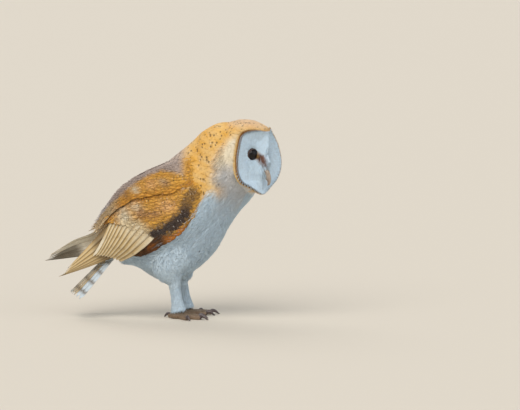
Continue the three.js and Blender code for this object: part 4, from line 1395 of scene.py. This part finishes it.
VANE_STEP = 0.9  # how far a vane's upper edge stands over the next one's lower edge
VANE_OVER = 1.22  # how wide a vane is, to its share of the row
VANE_THICK = 0.9
SHAFT_HIGH, SHAFT_WIDE = 0.22, 0.14
TIP_ROUND = 0.03
FLIGHT_COLUMNS = (-1, -0.86, -0.45, -0.12, 0, 0.12, 0.45, 0.86, 1)
FLIGHT_BENEATH = (0.9, 0, -0.9)
TIP_FROM = 0.88  # where the closer stations of a flight feather's round tip start
FLIGHT_STATIONS = np.append(
    np.linspace(0, TIP_FROM, 19), TIP_FROM + 0.12 * np.sin(np.radians(np.arange(10, 100, 10)))
)


def flight_row(count, at, paints_of, blunt, crowd=1.0, mirror=False):
    """A row of long feathers. at(u, share, lift) gives the place of the u-th part of the row.

    Their tips round off from the share blunt on, and crowd draws them together towards the row's end."""
    share = FLIGHT_STATIONS
    ring = [(q, False) for q in FLIGHT_COLUMNS] + [(q, True) for q in FLIGHT_BENEATH]
    points, coat, bake = [], [], []
    taper = np.sqrt(np.maximum(0, 1 - (np.maximum(share - blunt, 0) / (1 - blunt)) ** 2))
    for i in range(count):
        for k, s in enumerate(share):
            for q, low in ring:
                u = (i + 0.5 + 0.5 * VANE_OVER * q * max(taper[k], 0.1)) / count
                u = 1 - max(0, 1 - np.clip(u, -0.02, 1.02)) ** crowd
                rise = (1 - q if mirror and i < count / 2 else 1 + q) / 2
                shaft = SHAFT_HIGH * math.exp(-((q / SHAFT_WIDE) ** 2))
                lift = VANE_STEP * rise + (-VANE_THICK * (1 - abs(q)) if low else shaft)
                points.append((u, s * (1 - TIP_ROUND * abs(q) ** 2 * s), lift))
                coat.append((i, q, s, low))
                across = BAKE_LOW + BAKE_SPAN * (i + 0.5 + 0.9 * q / 2) / count
                bake.append((across, BAKE_LOW + BAKE_SPAN * s))
    u, s, lift = np.array(points).T
    rings = at(u, s, lift).reshape(count, len(share), len(ring), 3)
    paints = paints_of(*(np.array(column) for column in zip(*coat)))
    each = len(ring) * len(share)
    ends = np.r_[0:each, 0, each - 1]
    parts = []
    for i in range(count):
        shape, faces = tube(rings[i])
        own = i * each + ends
        parts.append((shape, faces, paints[own], np.array(bake)[own], np.zeros(len(faces), bool)))
    return parts


def flight_place(name, row, lift):
    """Where a row of flight feathers lies on the sheath."""
    upper, lower = row[name], row["lower"]

    def at(u, share, raised):
        """The place of the u-th part of the row, a share of the way to its tip."""
        t, degrees = (
            mix(mix(upper[0][k], lower[0][k], u), mix(upper[1][k], lower[1][k], u), share) for k in range(2)
        )
        raised = lift(u, share) + raised
        return section_point(sheath_curves[name], np.minimum(t, 1), degrees, SIDES[name], raised)

    return at


def secondaries_paints(i, q, s, low):
    """Pale outer edges beside dark lines, cream at the top and the tips, and a pale inner one."""
    colour = blend(plain(TAN, q), PALE_TAN, smoothstep(q, -0.3, 0.4) * fade(q, 0.6, 1.0))
    # the thin dark line near the upper edge is drawn; the darkened lower edge (q below -0.8), under the
    # neighbouring feather, is painted shade
    colour = blend(colour, BAR, 0.75 * (np.abs(q - 0.86) < 0.01) + 0.45 * (q < -0.8))
    colour = blend(colour, CREAM, 0.5 * smoothstep(-s, -0.5, -0.15) + 0.5 * smoothstep(s, 0.95, 1.0))
    wave = bell((s * 4 + 0.13 * i) % 1, 0.5, 0.09)
    colour = blend(colour, BAR, 0.4 * wave * (1 - np.abs(q)) * smoothstep(s, 0.35, 0.5))
    colour = blend(colour, CREAM, np.where(i == 0, 0.9, 0.0) * smoothstep(s, 0.5, 0.7))
    return np.column_stack([blend(colour, WHITE, 0.8 * low), np.full(len(q), 0.15)])


def primaries_paints(i, q, s, low):
    """Tan with thin dark edges and a shade under the secondaries, and cream with dark tips beneath."""
    colour = blend(plain(TAN, q), PALE_TAN, 0.5 * smoothstep(q, -0.3, 0.4) * fade(q, 0.6, 1.0))
    # the thin dark line near the upper edge is drawn; the darker lower edge (q below -0.8), under the
    # neighbouring feather, and the dark roots under the secondaries are painted shade
    colour = blend(colour, BAR, 0.7 * (np.abs(q - 0.86) < 0.01) + 0.2 * (q < -0.8))
    colour = blend(colour, SHADOW, 0.6 * fade(s, 0.45, 0.62))
    wave = bell((s * 6 + 0.1) % 1, 0.5, 0.1) * smoothstep(i, 1, 3)
    below = blend(plain(paint(250, 244, 226), q), BAR, 0.35 * wave * smoothstep(s, 0.4, 0.6))
    dark = smoothstep(s, 0.7, 0.8) * smoothstep(i, 0.5, 2.5)
    below = blend(below, paint(76, 62, 42), 0.9 * np.maximum(dark, smoothstep(s, 0.92, 0.98)))
    return np.column_stack([np.where(low[:, None], below, colour), np.full(len(q), 0.12)])


def secondaries_lift(u, share):
    """How far the secondaries stand off the sheath."""
    return -2.4 + 3.0 * (smoothstep(u, 0.2, 0.7) * smoothstep(share, 0, 0.12) * fade(share, 0.5, 0.9))


def primaries_lift(*_):
    """The primaries lie below the sheath, under the secondaries."""
    return -5.8


FLIGHT_ROWS = {  # form, lift, feathers, colours, blunt and crowd
    "secondaries": (SECONDARIES, secondaries_lift, 10, secondaries_paints, 0.95, 1.0),
    "primaries": (PRIMARIES, primaries_lift, 7, primaries_paints, 0.9, 1.8),
}


def wing(name):
    """One folded wing: scapulars and coverts over secondaries over primaries."""
    for kind in TRACTS:
        tract_coat(name, kind)
    for kind, (row, lift, count, paints_of, blunt, crowd) in FLIGHT_ROWS.items():
        parts = flight_row(count, flight_place(name, row, lift), paints_of, blunt, crowd)
        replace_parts(add_coat(f"{kind}_{name}", parts), f"wing_{name}_{kind}")


# ---------------- tail
def tail_place(u, share, lift):
    """A place on the tail's roof-shaped fan."""
    across = 2 * u - 1
    place = TAIL_ROOT + TAIL_DOWN * (share * TAIL_LENGTH * (1 - 0.05 * across**2))[:, None]
    place[:, 1] = across * mix(TAIL_HALF[0], TAIL_HALF[1], share**0.8)
    return place + TAIL_UP * (lift - TAIL_ROOF * across**2 * (0.5 + 0.5 * share))[:, None]


def tail_paints(i, q, s, low):
    """Buff, and paler at the sides, with dark bars above, and white with fainter bars below."""
    wave = bell((s * 5 + 0.1) % 1, 0.5, 0.13) * smoothstep(s, 0.15, 0.3)
    outer = np.isin(i, (0, 1, TAIL_FEATHERS - 2, TAIL_FEATHERS - 1))
    colour = blend(plain(paint(180, 162, 132), q), WHITE, 0.75 * outer)
    colour = blend(colour, BAR * 0.7, 0.8 * wave)
    below = blend(plain(WHITE, q), BAR * 0.7, 0.7 * wave)
    return np.column_stack([np.where(low[:, None], below, colour), np.full(len(q), 0.25)])


def tail():
    """The tail's feathers, which overlap from the middle to both sides."""
    parts = flight_row(TAIL_FEATHERS, tail_place, tail_paints, 0.94, mirror=True)
    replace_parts(add_coat("tail_feathers", parts), "tail")


# ---------------- feet
def toe_point(name, heading, out, height):
    """A place so far out from a foot's middle along a heading."""
    x, y, foot_turn = FEET[name]
    turn = math.radians(SIDES[name] * (foot_turn - heading))
    return np.array([x + math.cos(turn) * out, y + math.sin(turn) * out, height])


def foot_piece(part, name, shape, material=FOOT, end=""):
    """A piece of a foot in its solid's place, flat at the ground. Skin is brown, and darker on top."""
    points, faces = shape
    points[:, 2] = np.maximum(points[:, 2], 0.0)
    high = smoothstep(points[:, 2], 1.5, 8.5)
    colour = blend(plain(paint(142, 120, 98), points), paint(98, 82, 62), 0.85 * high)
    paints = np.column_stack([colour, np.zeros(len(points))]) if material is FOOT else None
    piece_name = {"foot": "foot_pad", "toe": "toe_skin", "claw": "claw_horn"}[part]
    piece = add_piece(f"{piece_name}_{name}{end}", points, faces, material, paints)
    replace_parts(piece, f"{part}_{name}{end}")


def scutes(share, turn):
    """A toe's swell: rows of scutes on top and pads below."""
    return (
        1 + 0.12 * np.abs(np.sin(share * 26)) ** 0.6 * np.clip(np.cos(turn), 0, 1)
        + 0.12 * np.sin(share * 9.5) * np.clip(-np.cos(turn), 0, 1)
    )


def foot(name):
    """The foot's pad and four toes with their rows of scutes, and the claws."""
    x, y, _ = FEET[name]
    turn, down = np.meshgrid(np.arange(40) / 40 * 2 * np.pi, np.radians(np.linspace(3, 177, 24)))
    ring = PAD * np.stack([np.sin(down) * np.cos(turn), np.sin(down) * np.sin(turn), np.cos(down)], -1)
    lumps = 1 + 0.02 * np.sin(9 * turn) * np.sin(8 * down)
    foot_piece("foot", name, tube(ring * lumps[..., None] + np.array([x, y, PAD_HIGH])))
    for digit, (heading, start, length, thick, reach) in TOES.items():
        path = np.array([
            toe_point(name, heading, start - 4 + s * (length + 4), thick * mix(0.85, 0.62, s))
            for s in (0, 0.3, 0.65, 1)
        ])
        side = unit(np.cross([0, 0, 1], path[3] - path[0]))
        sizes = [(half * thick, half * thick) for half in (1, 0.98, 0.92, 0.8)]
        foot_piece("toe", name, limb(path, sizes, side, 44, 20, scutes), end=f"_{digit}")
        base = thick * 0.8
        path = []
        for s in (0, 0.3, 0.6, 0.85, 1):
            height = base + 2.6 * math.sin(math.pi * min(1, s * 1.25)) - (base - 0.9) * s**1.6
            path.append(toe_point(name, heading, start + length - 1.5 + s * (reach + 1.5), max(0.9, height)))
        sizes = [(0.85 * half, half) for half in (3, 2.6, 1.9, 1.1, 0.45)]
        foot_piece("claw", name, limb(path, sizes, side, 28, 18), CLAW, f"_{digit}")


face_coat()
bristles()
ruff()
bill()
tail()
for name in SIDES:
    eyeball(name)
    eyelids(name)
    wing(name)
    foot(name)

# ---------------- camera, light and floor
SCALE = 1.45  # millimetres to a pixel of the photograph
WIDTH = 520
AIM = Vector((0.1422, 0, 0.1631))
ELEVATION = math.radians(5.5)
DISTANCE = 7.0
FLOOR_REACH = 14.0


def aim(thing, at):
    """Points a camera or a light at a place."""
    thing.rotation_euler = (Vector(at) - thing.location).to_track_quat("-Z", "Y").to_euler()


def photo_camera():
    """The photograph's view, from far away."""
    data = bpy.data.cameras.new("camera")
    data.sensor_width = 36
    data.lens = data.sensor_width * DISTANCE / (WIDTH * SCALE * MM)
    data.clip_end = 100
    camera = bpy.data.objects.new("camera", data)
    camera.location = AIM + DISTANCE * Vector((0, -math.cos(ELEVATION), math.sin(ELEVATION)))
    aim(camera, AIM)
    bpy.context.scene.collection.objects.link(camera)
    bpy.context.scene.camera = camera


def add_light(name, place, spread, strength, colour):
    """A far soft light, from a place towards the owl, as wide in the sky as some degrees."""
    data = bpy.data.lights.new(name, "SUN")
    data.angle = math.radians(spread)
    data.energy = strength
    data.color = colour
    light = bpy.data.objects.new(name, data)
    light.location = place
    aim(light, (0, 0, 0.15))
    bpy.context.scene.collection.objects.link(light)


def studio():
    """The lights, the sky and a plain floor."""
    add_light("key", (-0.7, -1.6, 2.3), 55, 2.3, (1, 0.98, 0.95))
    add_light("fill", (1.9, -1.2, 1.1), 60, 0.55, (0.86, 0.93, 1))
    add_light("back", (-0.6, 1.7, 1.9), 40, 0.8, (1, 0.98, 0.95))
    world = bpy.data.worlds.new("studio")
    world.use_nodes = True
    sky = world.node_tree.nodes["Background"].inputs
    sky["Color"].default_value = (0.78, 0.82, 0.87, 1)
    sky["Strength"].default_value = 0.5
    bpy.context.scene.world = world
    bpy.context.scene.view_settings.view_transform = "Standard"
    mesh = bpy.data.meshes.new("floor")
    corners = [(x * FLOOR_REACH, y * FLOOR_REACH, 0) for x, y in ((-1, -1), (1, -1), (1, 1), (-1, 1))]
    mesh.from_pydata(corners, [], [(0, 1, 2, 3)])
    mesh.materials.append(new_material("floor", 0.9, Base_Color=(0.62, 0.56, 0.47, 1))[0])
    floor = bpy.data.objects.new("floor", mesh)
    bpy.context.scene.collection.objects.link(floor)


photo_camera()
studio()
